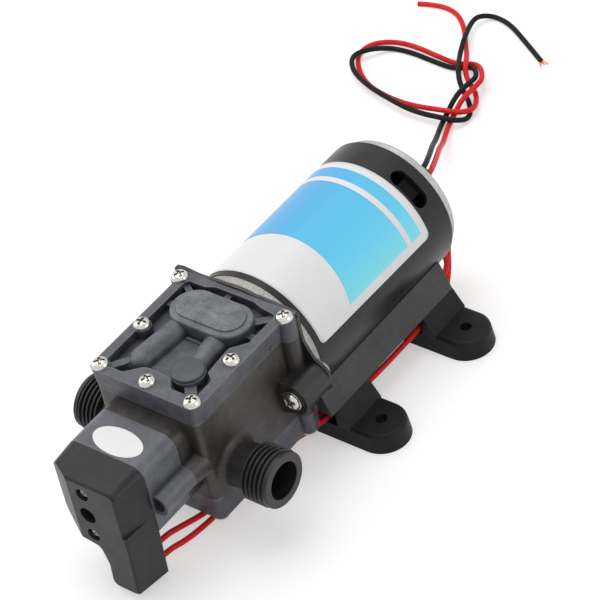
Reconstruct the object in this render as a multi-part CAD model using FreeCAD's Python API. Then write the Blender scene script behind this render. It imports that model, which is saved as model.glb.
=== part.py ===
import FreeCAD, Part
import math
import os

# Diaphragm water pump: a brushed motor drives an eccentric, whose rod works a rubber
# diaphragm above it and one below it. A pressure switch sits on the front of the head.
# Millimetres. The pieces are drawn about the motor's axis, y = 0 at the can's front edge,
# +y to the motor's rear, +x to the outlet port, +z up. PLACE then moves them so that the
# origin is the middle of the four foot holes, on the mounting face.

V = FreeCAD.Vector
EX = V(1, 0, 0)
EY = V(0, 1, 0)
EZ = V(0, 0, 1)

# Clearances
FIT = 0.05             # radial play of a running fit and of a piece in its pocket
SEAT_GAP = 0.05        # a closed valve or a brush and what it rests on
APART = 0.3            # curved faces of pieces that move past each other
FAR = 200.0            # reach of cutters that go right past a piece

# Motor
CAN_R = 27.3
CAN_WALL = 1.6
CAN_LEN = 78.0
CAN_BORE_R = CAN_R - CAN_WALL
SHAFT_R = 2.5
FLANGE_R = 27.0
FLANGE_T = 3.2
SPIGOT_T = 2.0
FRONT_BEARING_R = 8.0
FRONT_BEARING_W = 5.0
HUB_R = 11.0
CAP_R = 26.3
CAP_LIP_R = 25.6
CAP_LIP_T = 1.6
CAP_T = 4.4
CAP_BOSS_R = 8.0
CAP_BOSS_T = 1.2
REAR_BEARING_R = 6.5
REAR_BEARING_W = 4.0
MAGNET_T = 5.2
MAGNET_START = 12.5
MAGNET_END_ROOM = 20.5
MAGNET_ARC = 112.0
AIR_GAP = 0.6
CORE_SHORT = 9.0
CORE_HUB_R = 7.0
POLES = 5
POLE_SHOE_T = 2.4
SLOT_MOUTH = 2.2
ARM_HALF_ANGLE = 12.0
COIL_END = 4.5
COMMUTATOR_R = 6.5
COMMUTATOR_LEN = 10.0
COMMUTATOR_SLIT = 0.6
BRUSH_PLATE_T = 2.0
BRUSH_W = 5.0
BRUSH_LEN = 9.0
BRUSH_TRAVEL = 2.0
HOLDER_WALL = 1.2
BRUSH_ANGLE = 48.5
BRUSH_SPRING_R = 2.0
BRUSH_SPRING_WIRE = 0.5

# Vent slots over the brushes
VENT_W = 6.6
VENT_ARC = 35.0
VENT_Y = 70.2

# Pump head
BODY_HALF_X = 22.0
BODY_FRONT = -57.5
BODY_HALF_Z = 17.5
BODY_CORNER_R = 2.6
PLATE_T = 1.2
PLATE_TOP_Z = 24.0
PLATE_ARCH_X = 10.0
PLATE_ARCH = 2.0
PLATE_SIDE = [
    (BODY_HALF_X + 2.4, 24.1, 1.0),
    (BODY_HALF_X + 2.9, 12.5, 6.0),
    (BODY_HALF_X + 6.2, 5.6, 4.0),
    (BODY_HALF_X + 11.5, 2.0, 3.5),
    (BODY_HALF_X + 11.5, -5.4, 4.0),
    (BODY_HALF_X + 4.2, -13.0, 5.0),
    (BODY_HALF_X + 2.4, -18.0, 6.0),
    (BODY_HALF_X + 1.4, -24.0, 1.0),
]
HEAD_REAR = -FLANGE_T - PLATE_T
LOBE_OUT = 5.4
LOBE_X = BODY_HALF_X + LOBE_OUT
LOBE_Z = -2.2
LOBE_R = 6.3
LOBE_FRONT = -17.6
LOBE_WEB_TOP = 3.9
LOBE_WEB_LOW = -11.5
EAR_R = 3.3
FLANGE_EAR_R = 2.9

# Crank and diaphragms
ROD_Y = -19.0
THROW = 1.5
ECCENTRIC_R = 5.0
BALANCE_R = 9.6
BALANCE_T = 2.6
ROD_BEARING_R = 9.5
ROD_BEARING_W = 5.0
ROD_RING_T = 1.7
ROD_RING_W = 6.0
CRANK_BORE_R = 13.4
CRANK_FRONT = -26.0
STEM_R = 3.2
PISTON_R = 7.5
PISTON_T = 1.6
CLAMP_R = 7.0
CLAMP_T = 1.6
PISTON_SCREW_R = 1.5
PISTON_SCREW_HEAD_R = 2.8
RUBBER_T = 1.2
DIAPHRAGM_R = 13.4
DIAPHRAGM_RIM = 2.7
ROLL_DEPTH = 0.7

# Covers
COVER_T = 8.4
COVER_FLARE = 1.1
COVER_FLARE_FRONT = 0.4
COVER_RECESS = 3.8
RECESS_FRONT_RIM = 3.4
RECESS_SIDE_RIM = 2.5
RECESS_REAR_RIM = 2.2
MOAT_X = 19.2
DOME_HALF_X = 16.0
DOME_HALF_Y = 8.5
DOME_TOP = 10.4
PLATEAU_IN = 2.3
PLATEAU_UP = 0.7
DUCT_TOP = 9.4
LEFT_DUCT_R = 4.3
LEFT_DUCT_END_R = 4.8
LEFT_DUCT_START_X = -8.9
LEFT_DUCT_NOSE = 4.0
LEFT_BOSS_X = -11.2
LEFT_BOSS_Y = -44.2
NUB_X = -13.0
NUB_Y = -47.4
NUB_R = 2.2
NUB_TOP = 6.9
RIGHT_DUCT_R = 4.2
RIGHT_DUCT_START_X = 6.9
RIGHT_BOSS_X = 9.3
RIGHT_BOSS_Y = -43.7
RIGHT_BOSS_R = 6.1
RIGHT_BOSS_TOP = 8.5
DUCT_BORE_R = 2.2
DUCT_BORE_DROP = 1.4
RIB_W = 2.4
RIB_TOP = 7.0
LEDGE_TOP = 0.8

# Cover screws: rear pair in ears, side pair, front pair and one in the front's middle
SCREW_R = 1.5
SCREW_HEAD_R = 2.95
SCREW_HEAD_T = 2.2
SCREW_LEN = 14.0
SCREW_HOLE_R = 1.75
SCREW_BOSS_R = 3.3
REAR_SCREW = (22.6, -8.2)
SIDE_SCREW = (19.3, -33.1)
FRONT_SCREW = (19.8, -54.9)
MID_SCREW = (0.0, -54.1)

# Screws that hold the head to the motor, with washer heads
HEAD_SCREW_HEAD_R = 3.2
HEAD_SCREW_HEAD_T = 2.4
HEAD_WASHER_R = 4.0
HEAD_WASHER_T = 0.7

# Valve plates and valves
PLATE_DISC_R = 13.3
PLATE_DISC_T = 3.5
CHAMBER_R = 10.8
CHAMBER_DEPTH = 3.4
VALVE_X = 7.3
VALVE_HALF_X = 13.6
VALVE_HALF_Y = 6.3
WEB_LOW = 5.4
WEB_TOP = 6.9
VALVE_TRAVEL = 1.0
VALVE_HEAD_R = 3.9
VALVE_HEAD_T = 0.9
VALVE_STEM_R = 0.85
VALVE_BULB_R = 1.35
VALVE_BULB_T = 0.6
FLOW_HOLE_R = 0.9
FLOW_HOLE_PITCH_R = 2.3
DIVIDER_HALF = 0.8
DOME_CEILING = 9.4

# Ports
PORT_Y = -44.25
PORT_Z = -9.6
PORT_END = 42.3
PORT_BORE_R = 6.9
PORT_BORE_DEPTH = 22.0
PORT_NECK_R = 8.2
PORT_FLARE = 2.5
PORT_FLARE_STEPS = 8
THREAD_CREST_R = 10.48
THREAD_ROOT_R = 9.32
THREAD_PITCH = 1.814
THREAD_TURNS = 5
PORT_LIP = 1.9
PORT_LIP_R = 10.1
CHANNEL_R = 5.0
SEAL_R = 4.0
SEAL_T = 1.3
SEAL_RECESS = 1.2

# Pressure switch
BOSS_FRONT = -63.7
SWITCH_HALF_X = 16.5
SWITCH_TOP = 15.8
SWITCH_LOW = -14.0
SWITCH_CORNER_R = 5.0
BASE_FRONT = -80.0
BASE_WALL = 2.6
BASE_FLOOR = 2.6
COLUMN_X = 17.6
COLUMN_Z = -1.2
COLUMN_R = 4.4
COLUMN_FRONT = -79.0
COLUMN_BORE_R = 3.0
BASE_SCREW_LIP = 4.3
COVER_FRONT = -94.0
COVER_SHELL = 1.8
COVER_DRAFT = 1.1
COVER_EDGE = 0.8
FACET_X = -6.0
FACET_SIDE_Y = -88.6
TAIL_LOW = -34.2
TAIL_LEFT = 1.0
TAIL_RIGHT = 15.0
HOLLOW_TOP = 12.0
HOLLOW_LOW = -5.2
HOLLOW_DEPTH = 2.8
HOLLOW_SLANT = 1.0
TAIL_WALL = 1.5
SWITCH_AXIS_Z = -0.6
SWITCH_SCREW_UP = 9.6
SWITCH_SCREW_DOWN = -9.3
SWITCH_SCREW_HOLE_R = 2.6
SWITCH_SCREW_HEAD_R = 2.3
SWITCH_SCREW_HEAD_T = 1.2
SWITCH_SCREW_R = 1.2
SWITCH_SCREW_SINK = 0.85
POST_R = 2.4
POST_CUP_R = 3.5
PRESSURE_HOLE_R = 1.6
SWITCH_RUBBER_R = 10.0
SWITCH_RUBBER_T = 1.0
PRESSURE_RECESS_R = 8.0
PRESSURE_RECESS = 1.6
PLUNGER_R = 6.6
PLUNGER_T = 2.8
PLUNGER_STEM_R = 1.8
PLUNGER_STEM_LEN = 10.0
PLUNGER_TRAVEL = 0.6
ARM_X = 7.6
ARM_HALF_X = 1.6
ARM_T = 1.6
ARM_Z = -9.2
ADJUST_R = 2.5
ADJUST_LEN = 5.4
ADJUST_SINK = 4.0
ADJUST_PITCH = 0.8
ADJUST_TURNS = 2.0
ADJUST_HEX_R = 1.5
ADJUST_TUBE_R = 4.6
ADJUST_HOLE_R = 3.3
SEAT_DISC_R = 5.6
SEAT_DISC_T = 1.5
SEAT_NOSE_R = 2.0
SEAT_NOSE_LEN = 2.0
SWITCH_SPRING_R = 4.6
SWITCH_SPRING_WIRE = 1.2
MICRO_X = 7.85
MICRO_HALF_X = 2.7
MICRO_TOP = -19.2
MICRO_LOW = -30.6
MICRO_T = 5.8
BUTTON_Z = -22.0
BUTTON_R = 1.0
BUTTON_OUT = 1.4
TAB_T = 0.5

# Mounting
CRADLE_TOP_X = 25.2
CRADLE_TOP_Z = -11.2
CRADLE_EDGE_X = 29.5
CRADLE_EDGE_Z = -22.2
CRADLE_STEP_X = 21.5
CRADLE_BELLY_X = 17.5
CRADLE_BELLY_Z = -29.6
CRADLE_FRONT = -2.9
CRADLE_REAR = 70.0
MOUNT_Z = -36.5
FOOT_W = 18.4
FOOT_FRONT = 0.1
FOOT_PITCH = 51.8
FOOT_HOLE_X = 40.3
FOOT_HOLE_R = 2.15
TONGUE_TOP = -29.0
TONGUE_DRAFT = 0.7
TONGUE_ROUND = 1.5
BLOCK_TOP_X = 29.3
BLOCK_LOW_X = 33.6
CHANNEL_X = 27.9
CHANNEL_FLOOR = -30.2
FOOT_SCREW_R = 2.0
FOOT_SCREW_HEAD_R = 3.6
FOOT_SCREW_HEAD_T = 2.0
FOOT_SCREW_SINK = 3.6
FOOT_Y = FOOT_FRONT + FOOT_W / 2
PLACE = V(0, -(FOOT_Y + FOOT_PITCH / 2), -MOUNT_Z)

# Wires: points chosen by hand. The leads end free behind the motor.
WIRE_R = 1.05
GROMMET_R = 4.2
GROMMET_OUT = 2.6
LEAD_X = 12.4
LEAD_Z = 13.4
LEAD_SPLIT_X = 1.0
LEAD_SPLIT_Z = 1.1
WIRE_GROMMET_R = 3.4
WIRE_X = 13.5
WIRE_Z = -12.4
WIRE_SPLIT = 1.25
STRAND_R = 0.28
STRAND_LEN = 3.2
STRAND_GAP = 0.15

WIRE_START = CAN_LEN + CAP_T
LEAD_EXIT_Y = WIRE_START + GROMMET_OUT + 1.6
FLOOR = MOUNT_Z + WIRE_R
OVER = FLOOR + 2.7

BLACK_ROUTE = [
    (LEAD_X - LEAD_SPLIT_X, WIRE_START, LEAD_Z + LEAD_SPLIT_Z),
    (LEAD_X - LEAD_SPLIT_X, LEAD_EXIT_Y, LEAD_Z + LEAD_SPLIT_Z),
    (9.6, 95.0, 11.8),
    (-1.9, 108.5, 2.4),
    (-13.5, 123.5, -11.5),
    (-24.5, 138.5, -25.0),
    (-34.9, 151.0, FLOOR),
    (-39.4, 162.5, FLOOR),
    (-41.8, 172.5, OVER),
    (-41.8, 184.0, OVER),
    (-45.0, 189.8, FLOOR),
    (-55.0, 189.6, FLOOR),
    (-65.0, 189.2, FLOOR),
    (-75.0, 189.6, FLOOR),
    (-84.0, 188.4, FLOOR),
    (-91.2, 184.8, FLOOR),
    (-93.2, 178.0, FLOOR),
    (-88.5, 171.8, FLOOR),
    (-80.0, 167.6, FLOOR),
    (-70.0, 164.6, FLOOR),
    (-60.0, 161.3, FLOOR),
    (-51.0, 160.2, FLOOR),
    (-43.0, 159.9, OVER),
    (-33.8, 159.8, OVER),
    (-29.4, 165.0, FLOOR),
    (-33.4, 172.4, FLOOR),
    (-39.0, 178.2, FLOOR),
    (-44.2, 183.8, FLOOR),
    (-48.8, 189.4, OVER),
    (-52.6, 195.4, OVER),
    (-57.0, 203.5, FLOOR),
    (-61.2, 213.0, FLOOR),
    (-60.0, 223.5, FLOOR),
    (-49.5, 222.5, FLOOR),
    (-38.5, 215.6, FLOOR),
    (-24.5, 207.0, FLOOR),
]
RED_ROUTE = [
    (LEAD_X + LEAD_SPLIT_X, WIRE_START, LEAD_Z - LEAD_SPLIT_Z),
    (LEAD_X + LEAD_SPLIT_X, LEAD_EXIT_Y, LEAD_Z - LEAD_SPLIT_Z),
    (11.9, 95.5, 9.6),
    (0.9, 109.5, 0.0),
    (-10.7, 124.8, -13.4),
    (-21.8, 139.6, -27.0),
    (-32.2, 152.0, FLOOR),
    (-36.8, 163.0, FLOOR),
    (-39.2, 173.2, OVER),
    (-39.2, 185.2, OVER),
    (-43.8, 192.3, FLOOR),
    (-55.0, 192.2, FLOOR),
    (-65.0, 192.0, FLOOR),
    (-75.5, 192.2, FLOOR),
    (-85.0, 190.9, FLOOR),
    (-93.4, 186.4, FLOOR),
    (-95.8, 177.6, FLOOR),
    (-90.0, 169.5, FLOOR),
    (-81.0, 165.0, FLOOR),
    (-72.5, 162.2, OVER),
    (-62.0, 162.6, OVER),
    (-52.5, 163.5, OVER),
    (-43.0, 163.6, OVER),
    (-35.4, 163.2, OVER),
    (-32.8, 167.0, FLOOR),
    (-36.6, 171.6, FLOOR),
    (-41.2, 176.9, FLOOR),
    (-46.4, 182.4, FLOOR),
    (-51.0, 188.0, OVER),
    (-54.8, 194.0, OVER),
    (-59.5, 202.4, FLOOR),
    (-65.5, 212.0, FLOOR),
    (-73.5, 218.6, FLOOR),
    (-83.5, 219.6, FLOOR),
    (-91.5, 217.2, FLOOR),
]

UPPER_WIRE_ROUTE = [
    (11.65, -86.5, -22.6),
    (11.65, -75.5, -22.6),
    (12.0, -67.0, -25.4),
    (12.6, -57.0, -28.8),
    (12.6, -46.0, -31.2),
    (12.8, -28.0, -31.4),
    (13.6, -14.0, -31.2),
    (19.4, -2.6, -29.0),
    (21.0, 9.0, -28.8),
    (23.4, 24.0, -28.6),
    (23.4, 58.0, -28.6),
    (20.2, 70.6, -28.7),
    (16.9, WIRE_START + 2.0, -28.6),
    (13.6, WIRE_START + 7.0, -24.0),
    (WIRE_X - WIRE_SPLIT, WIRE_START + 10.5, WIRE_Z - 5.1),
    (WIRE_X - WIRE_SPLIT, WIRE_START + 9.0, WIRE_Z - 0.2),
    (WIRE_X - WIRE_SPLIT, WIRE_START + 4.2, WIRE_Z),
    (WIRE_X - WIRE_SPLIT, WIRE_START, WIRE_Z),
]
LOWER_WIRE_ROUTE = [
    (11.65, -86.5, -29.0),
    (11.65, -75.5, -29.0),
    (13.4, -67.0, -29.6),
    (15.0, -57.0, -30.2),
    (15.2, -46.0, -31.4),
    (15.4, -28.0, -31.6),
    (16.4, -15.0, -31.2),
    (22.3, -3.8, -29.0),
    (24.2, 8.0, -28.8),
    (26.2, 24.0, -28.6),
    (26.2, 58.0, -28.6),
    (22.9, 71.2, -29.1),
    (21.6, 75.6, -31.1),
    (15.6, WIRE_START + 3.6, -30.9),
    (13.4, WIRE_START + 10.2, -24.5),
    (WIRE_X + WIRE_SPLIT, WIRE_START + 13.0, WIRE_Z - 4.6),
    (WIRE_X + WIRE_SPLIT, WIRE_START + 11.2, WIRE_Z - 0.2),
    (WIRE_X + WIRE_SPLIT, WIRE_START + 4.8, WIRE_Z),
    (WIRE_X + WIRE_SPLIT, WIRE_START, WIRE_Z),
]

# Heights above the parting plane are turned into heights above the motor's axis here
PART_Z = BODY_HALF_Z
RIM_Z = PART_Z + COVER_T
FLOOR_Z = RIM_Z - COVER_RECESS
DOME_Z = PART_Z + DOME_TOP
CHAMBER_Z = PART_Z + CHAMBER_DEPTH
DUCT_AXIS_Z = PART_Z + DUCT_TOP - DUCT_BORE_DROP - DUCT_BORE_R
ROD_RING_R = ROD_BEARING_R + ROD_RING_T
BASE_SCREW_SEAT = BOSS_FRONT - BASE_SCREW_LIP
MAGNET_LEN = CAN_LEN - MAGNET_START - MAGNET_END_ROOM
CORE_LEN = MAGNET_LEN - CORE_SHORT
MAGNET_R = CAN_BORE_R - FIT
CORE_R = MAGNET_R - MAGNET_T - AIR_GAP
CORE_START = MAGNET_START + (MAGNET_LEN - CORE_LEN) / 2
CORE_END = CORE_START + CORE_LEN
COMMUTATOR_START = CORE_END + COIL_END + 1.5
COMMUTATOR_END = COMMUTATOR_START + COMMUTATOR_LEN
CAP_FRONT = CAN_LEN
CAP_REAR = CAN_LEN + CAP_T


def block(x0, x1, y0, y1, z0, z1):
    corner = V(min(x0, x1), min(y0, y1), min(z0, z1))
    return Part.makeBox(abs(x1 - x0), abs(y1 - y0), abs(z1 - z0), corner)


def rod(radius, start, end):
    """A round bar between two points."""
    a = V(*start)
    b = V(*end)
    return Part.makeCylinder(radius, (b - a).Length, a, b - a)


def bar(start, end, width, low, high):
    """An upright wall of the given width between two points of the plan."""
    a = V(start[0], start[1], low)
    b = V(end[0], end[1], low)
    along = b - a
    wall = Part.makeBox(along.Length, width, high - low, V(0, -width / 2, 0))
    wall.rotate(V(0, 0, 0), EZ, math.degrees(math.atan2(along.y, along.x)))
    wall.translate(a)
    return wall


def outline(corners, plane):
    """A closed wire through (u, v, radius) corners, each rounded by a tangent arc."""
    count = len(corners)
    tangents = []
    for i in range(count):
        here = V(corners[i][0], corners[i][1], 0)
        before = V(corners[i - 1][0], corners[i - 1][1], 0)
        after = V(corners[(i + 1) % count][0], corners[(i + 1) % count][1], 0)
        radius = corners[i][2]
        back = (before - here).normalize()
        ahead = (after - here).normalize()
        if radius == 0:
            tangents.append((here, None, here))
            continue
        half = back.getAngle(ahead) / 2
        reach = radius / math.tan(half)
        centre = here + (back + ahead).normalize() * (radius / math.sin(half))
        middle = centre + (here - centre).normalize() * radius
        tangents.append((here + back * reach, middle, here + ahead * reach))
    edges = []
    for i in range(count):
        start, middle, end = tangents[i]
        if middle is not None:
            edges.append(Part.Arc(plane(start), plane(middle), plane(end)).toShape())
        following = tangents[(i + 1) % count][0]
        if (following - end).Length > 1e-6:
            edges.append(Part.LineSegment(plane(end), plane(following)).toShape())
    return Part.Wire(edges)


def slab(corners, low, high):
    """A plan outline (x, y, radius) raised from low to high."""
    wire = outline(corners, lambda p: V(p.x, p.y, low))
    return Part.Face(wire).extrude(V(0, 0, high - low))


def section(corners, front, rear):
    """A front-view outline (x, z, radius) carried along y."""
    wire = outline(corners, lambda p: V(p.x, front, p.y))
    return Part.Face(wire).extrude(V(0, rear - front, 0))


def turned(profile, centre, axis):
    """A profile of (radius, height) points turned about an axis through centre."""
    points = [V(r, 0, h) for r, h in profile]
    face = Part.Face(Part.makePolygon(points + points[:1]))
    solid = face.revolve(V(0, 0, 0), EZ, 360)
    turn = FreeCAD.Rotation(EZ, V(*axis))
    solid.Placement = FreeCAD.Placement(V(*centre), turn)
    return solid


def stadium(half_x, half_y, centre_y):
    """Corners of a plan outline with half-round ends, long along x."""
    r = half_y - 0.01
    return [
        (-half_x, centre_y - half_y, r),
        (half_x, centre_y - half_y, r),
        (half_x, centre_y + half_y, r),
        (-half_x, centre_y + half_y, r),
    ]


def fused(shapes):
    whole = shapes[0]
    for shape in shapes[1:]:
        whole = whole.fuse(shape)
    return whole.removeSplitter()


def cut(shape, tools):
    for tool in tools:
        shape = shape.cut(tool)
    return shape


def flipped(shape):
    """The same piece below the motor's axis."""
    return shape.mirror(V(0, 0, 0), EZ)


def sides(shape):
    """A piece and its mirror image across the middle plane."""
    return [shape, shape.mirror(V(0, 0, 0), EX)]


def pan_screw(head, radius, head_r, head_t, length, direction):
    """A domed-head screw whose head rests at the point head; direction leads to its tip."""
    profile = [
        (0, -length),
        (radius * 0.5, -length),
        (radius, -length + radius),
        (radius, 0),
        (head_r, 0),
        (head_r, head_t * 0.4),
        (head_r * 0.82, head_t * 0.78),
        (head_r * 0.45, head_t),
        (0, head_t),
    ]
    back = V(*direction) * -1
    return turned(profile, head, (back.x, back.y, back.z))


def tube_path(points):
    """Straight runs joined by tangent arcs, each 0.45 of the shorter run from its corner."""
    knots = [V(*p) for p in points]
    edges = []
    radii = []
    start = knots[0]
    for i in range(1, len(knots) - 1):
        back = knots[i - 1] - knots[i]
        ahead = knots[i + 1] - knots[i]
        reach = 0.45 * min(back.Length, ahead.Length)
        back.normalize()
        ahead.normalize()
        half_turn = (math.pi - back.getAngle(ahead)) / 2
        if half_turn < 0.001:
            continue
        radius = reach / math.tan(half_turn)
        radii.append(radius)
        a = knots[i] + back * reach
        b = knots[i] + ahead * reach
        centre = knots[i] + (back + ahead).normalize() * (radius / math.cos(half_turn))
        middle = centre + (knots[i] - centre).normalize() * radius
        edges.append(Part.LineSegment(start, a).toShape())
        edges.append(Part.Arc(a, middle, b).toShape())
        start = b
    edges.append(Part.LineSegment(start, knots[-1]).toShape())
    return Part.Wire(edges), radii


def tube(name, points, radius):
    """A wire of round section along a route; prints its length and its bends' radii."""
    path, radii = tube_path(points)
    first = V(*points[0])
    along = V(*points[1]) - first
    ring = Part.Wire(Part.Circle(first, along, radius).toShape())
    solid = path.makePipeShell([ring], True, True)
    share = solid.Volume / (math.pi * radius * radius * path.Length)
    print(name, "length", round(path.Length, 1), "volume share", round(share, 4),
          "least radius", round(min(radii), 1), [round(r, 1) for r in radii])
    return solid


def brush_gear_turned(shape, angle):
    """A piece drawn along +x, turned about the motor's axis to its brush's angle."""
    placed = shape.copy()
    placed.rotate(V(0, 0, 0), EY, -angle)
    return placed


def vent(angle):
    """The cutter of one round-ended vent slot in the can's wall."""
    inner = CAN_BORE_R - 3
    outer = CAN_R + 3
    end_angle = VENT_ARC / 2 - math.degrees(VENT_W / 2 / CAN_R)
    corners = [
        V(inner, VENT_Y - VENT_W / 2, 0),
        V(outer, VENT_Y - VENT_W / 2, 0),
        V(outer, VENT_Y + VENT_W / 2, 0),
        V(inner, VENT_Y + VENT_W / 2, 0),
    ]
    face = Part.Face(Part.makePolygon(corners + corners[:1]))
    face.rotate(V(0, 0, 0), EY, -(angle - end_angle))
    slot = face.revolve(V(0, 0, 0), EY, -2 * end_angle)
    for end in (angle - end_angle, angle + end_angle):
        way = V(math.cos(math.radians(end)), 0, math.sin(math.radians(end)))
        slot = slot.fuse(Part.makeCylinder(VENT_W / 2, outer - inner, V(0, VENT_Y, 0) + way * inner, way))
    return slot


def motor_can():
    """Painted steel can: a tube with two vent slots and the two foot screws' holes."""
    can = rod(CAN_R, (0, 0, 0), (0, CAN_LEN, 0))
    can = can.cut(rod(CAN_BORE_R, (0, 0, 0), (0, CAN_LEN, 0)))
    can = cut(can, [vent(BRUSH_ANGLE), vent(BRUSH_ANGLE + 180)])
    for y in (FOOT_Y, FOOT_Y + FOOT_PITCH):
        can = can.cut(rod(FOOT_SCREW_R + FIT, (0, y, 0), (0, y, MOUNT_Z)))
    return can


def motor_front_flange():
    """Cast front end bell with a bearing hub, a spigot in the can and two screw ears."""
    disc = rod(FLANGE_R, (0, -FLANGE_T, 0), (0, 0, 0))
    spigot = rod(CAN_BORE_R - FIT, (0, 0, 0), (0, SPIGOT_T, 0))
    hub = rod(HUB_R, (0, 0, 0), (0, FRONT_BEARING_W, 0))
    ears = sides(rod(FLANGE_EAR_R, (LOBE_X, -FLANGE_T, LOBE_Z), (LOBE_X, 0, LOBE_Z)))
    webs = sides(block(FLANGE_R - 6, LOBE_X, -FLANGE_T, 0, LOBE_Z - FLANGE_EAR_R, LOBE_Z + FLANGE_EAR_R))
    bell = fused([disc, spigot, hub] + ears + webs)
    pocket = rod(FRONT_BEARING_R, (0, 0, 0), (0, FRONT_BEARING_W, 0))
    way = rod(SHAFT_R + 2.5, (0, -FLANGE_T, 0), (0, 0, 0))
    taps = sides(rod(SCREW_R + FIT, (LOBE_X, -FLANGE_T, LOBE_Z), (LOBE_X, 0, LOBE_Z)))
    return cut(bell, [pocket, way] + taps)


def ring(outer, inner, start, end):
    whole = rod(outer, (0, start, 0), (0, end, 0))
    return whole.cut(rod(inner, (0, start, 0), (0, end, 0)))


def shielded_bearing(outer, inner, start, width):
    """A ball bearing as one ring whose shields lie back from its faces."""
    body = ring(outer, inner, start, start + width)
    step = (outer - inner) * 0.22
    for y0, y1 in ((start, start + 0.4), (start + width - 0.4, start + width)):
        body = body.cut(ring(outer - step, inner + step, y0, y1))
    return body


def motor_end_cap():
    """Bright rear end cap with a stepped rim, a bearing boss and two wire holes."""
    disc = rod(CAP_R, (0, CAP_FRONT, 0), (0, CAP_FRONT + CAP_LIP_T, 0))
    lip_edge = CAP_REAR - 1.1
    profile = [
        (0, 0),
        (CAP_LIP_R, 0),
        (CAP_LIP_R, lip_edge - CAP_FRONT),
        (CAP_LIP_R - 0.35, CAP_T - 0.35),
        (CAP_LIP_R - 1.1, CAP_T),
        (CAP_BOSS_R + 0.8, CAP_T),
        (CAP_BOSS_R, CAP_T + CAP_BOSS_T),
        (0, CAP_T + CAP_BOSS_T),
    ]
    lip = turned(profile, (0, CAP_FRONT, 0), (0, 1, 0))
    spigot = ring(CAN_BORE_R - FIT, CAN_BORE_R - 3.0, CAP_FRONT - 2.5, CAP_FRONT)
    hub = rod(REAR_BEARING_R + 2.0, (0, CAP_FRONT - 2.0, 0), (0, CAP_FRONT, 0))
    cap = fused([disc, lip, spigot, hub])
    pocket = rod(REAR_BEARING_R, (0, CAP_FRONT - 2.0, 0), (0, CAP_FRONT - 2.0 + REAR_BEARING_W, 0))
    end_room = rod(SHAFT_R + 1.0, (0, CAP_FRONT, 0), (0, CAP_REAR, 0))
    lead_hole = rod(GROMMET_R, (LEAD_X, CAP_FRONT, LEAD_Z), (LEAD_X, CAP_REAR, LEAD_Z))
    wire_hole = rod(WIRE_GROMMET_R, (WIRE_X, CAP_FRONT, WIRE_Z), (WIRE_X, CAP_REAR, WIRE_Z))
    return cut(cap, [pocket, end_room, lead_hole, wire_hole])


def grommet(x, z, radius, wires):
    """A rubber grommet in the end cap, with one hole for each wire."""
    neck = rod(radius - FIT, (x, CAP_FRONT, z), (x, CAP_REAR, z))
    flange = rod(radius + 1.0, (x, CAP_REAR, z), (x, CAP_REAR + 1.0, z))
    nose = rod(radius - 0.5, (x, CAP_REAR, z), (x, CAP_REAR + GROMMET_OUT, z))
    body = fused([neck, flange, nose])
    return cut(body, [rod(WIRE_R + FIT, (wx, CAP_FRONT, wz), (wx, CAP_REAR + GROMMET_OUT, wz))
                      for wx, wz in wires])


def magnets():
    """Two ferrite arcs on the can's inner wall, above and below the armature."""
    inner = MAGNET_R - MAGNET_T
    end = MAGNET_START + MAGNET_LEN
    corners = [
        V(inner, MAGNET_START, 0),
        V(MAGNET_R, MAGNET_START, 0),
        V(MAGNET_R, end, 0),
        V(inner, end, 0),
    ]
    face = Part.Face(Part.makePolygon(corners + corners[:1]))
    face.rotate(V(0, 0, 0), EY, -(90 - MAGNET_ARC / 2))
    upper = face.revolve(V(0, 0, 0), EY, -MAGNET_ARC)
    return Part.makeCompound([upper, flipped(upper)])


def slot_wedge(middle, inner, outer, half_angle, start, end):
    """A wedge between two armature arms, from one radius to another."""
    points = []
    for radius, side in ((inner, -1), (outer, -1), (outer, 1), (inner, 1)):
        turn = math.radians(middle + side * half_angle)
        points.append(V(radius * math.cos(turn), start, radius * math.sin(turn)))
    face = Part.Face(Part.makePolygon(points + points[:1]))
    return face.extrude(V(0, end - start, 0))


def armature_core():
    """Laminated stack: a hub, arms and pole shoes, left by the winding slots."""
    core = ring(CORE_R, SHAFT_R, CORE_START, CORE_END)
    shoe_r = CORE_R - POLE_SHOE_T
    step = 360.0 / POLES
    for i in range(POLES):
        middle = step * (i + 0.5)
        core = core.cut(slot_wedge(middle, CORE_HUB_R + 1.6, shoe_r, step / 2 - ARM_HALF_ANGLE, CORE_START,
                                   CORE_END))
        mouth = block(shoe_r - 3, CORE_R + 1, CORE_START, CORE_END, -SLOT_MOUTH / 2, SLOT_MOUTH / 2)
        mouth.rotate(V(0, 0, 0), EY, -middle)
        core = core.cut(mouth)
    return core


def armature_windings():
    """Copper coils: one fill in each slot and a turn of wire over both ends of the stack."""
    step = 360.0 / POLES
    outer = CORE_R - POLE_SHOE_T - 0.6
    inner = CORE_HUB_R + 2.0
    heads = [ring(outer - 0.4, inner, CORE_START - COIL_END, CORE_START - FIT),
             ring(outer - 0.4, inner, CORE_END + FIT, CORE_END + COIL_END)]
    fills = []
    for i in range(POLES):
        fills.append(slot_wedge(step * (i + 0.5), inner, outer, step / 2 - ARM_HALF_ANGLE - 3.0,
                                CORE_START - 1, CORE_END + 1))
    return fused(heads + fills)


def commutator():
    """Slit copper drum on the shaft."""
    drum = ring(COMMUTATOR_R, SHAFT_R, COMMUTATOR_START, COMMUTATOR_END)
    for i in range(POLES):
        slit = block(COMMUTATOR_R - 1.0, COMMUTATOR_R + 1, COMMUTATOR_START, COMMUTATOR_END,
                     -COMMUTATOR_SLIT / 2, COMMUTATOR_SLIT / 2)
        slit.rotate(V(0, 0, 0), EY, -360.0 / POLES * i)
        drum = drum.cut(slit)
    return drum


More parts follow.
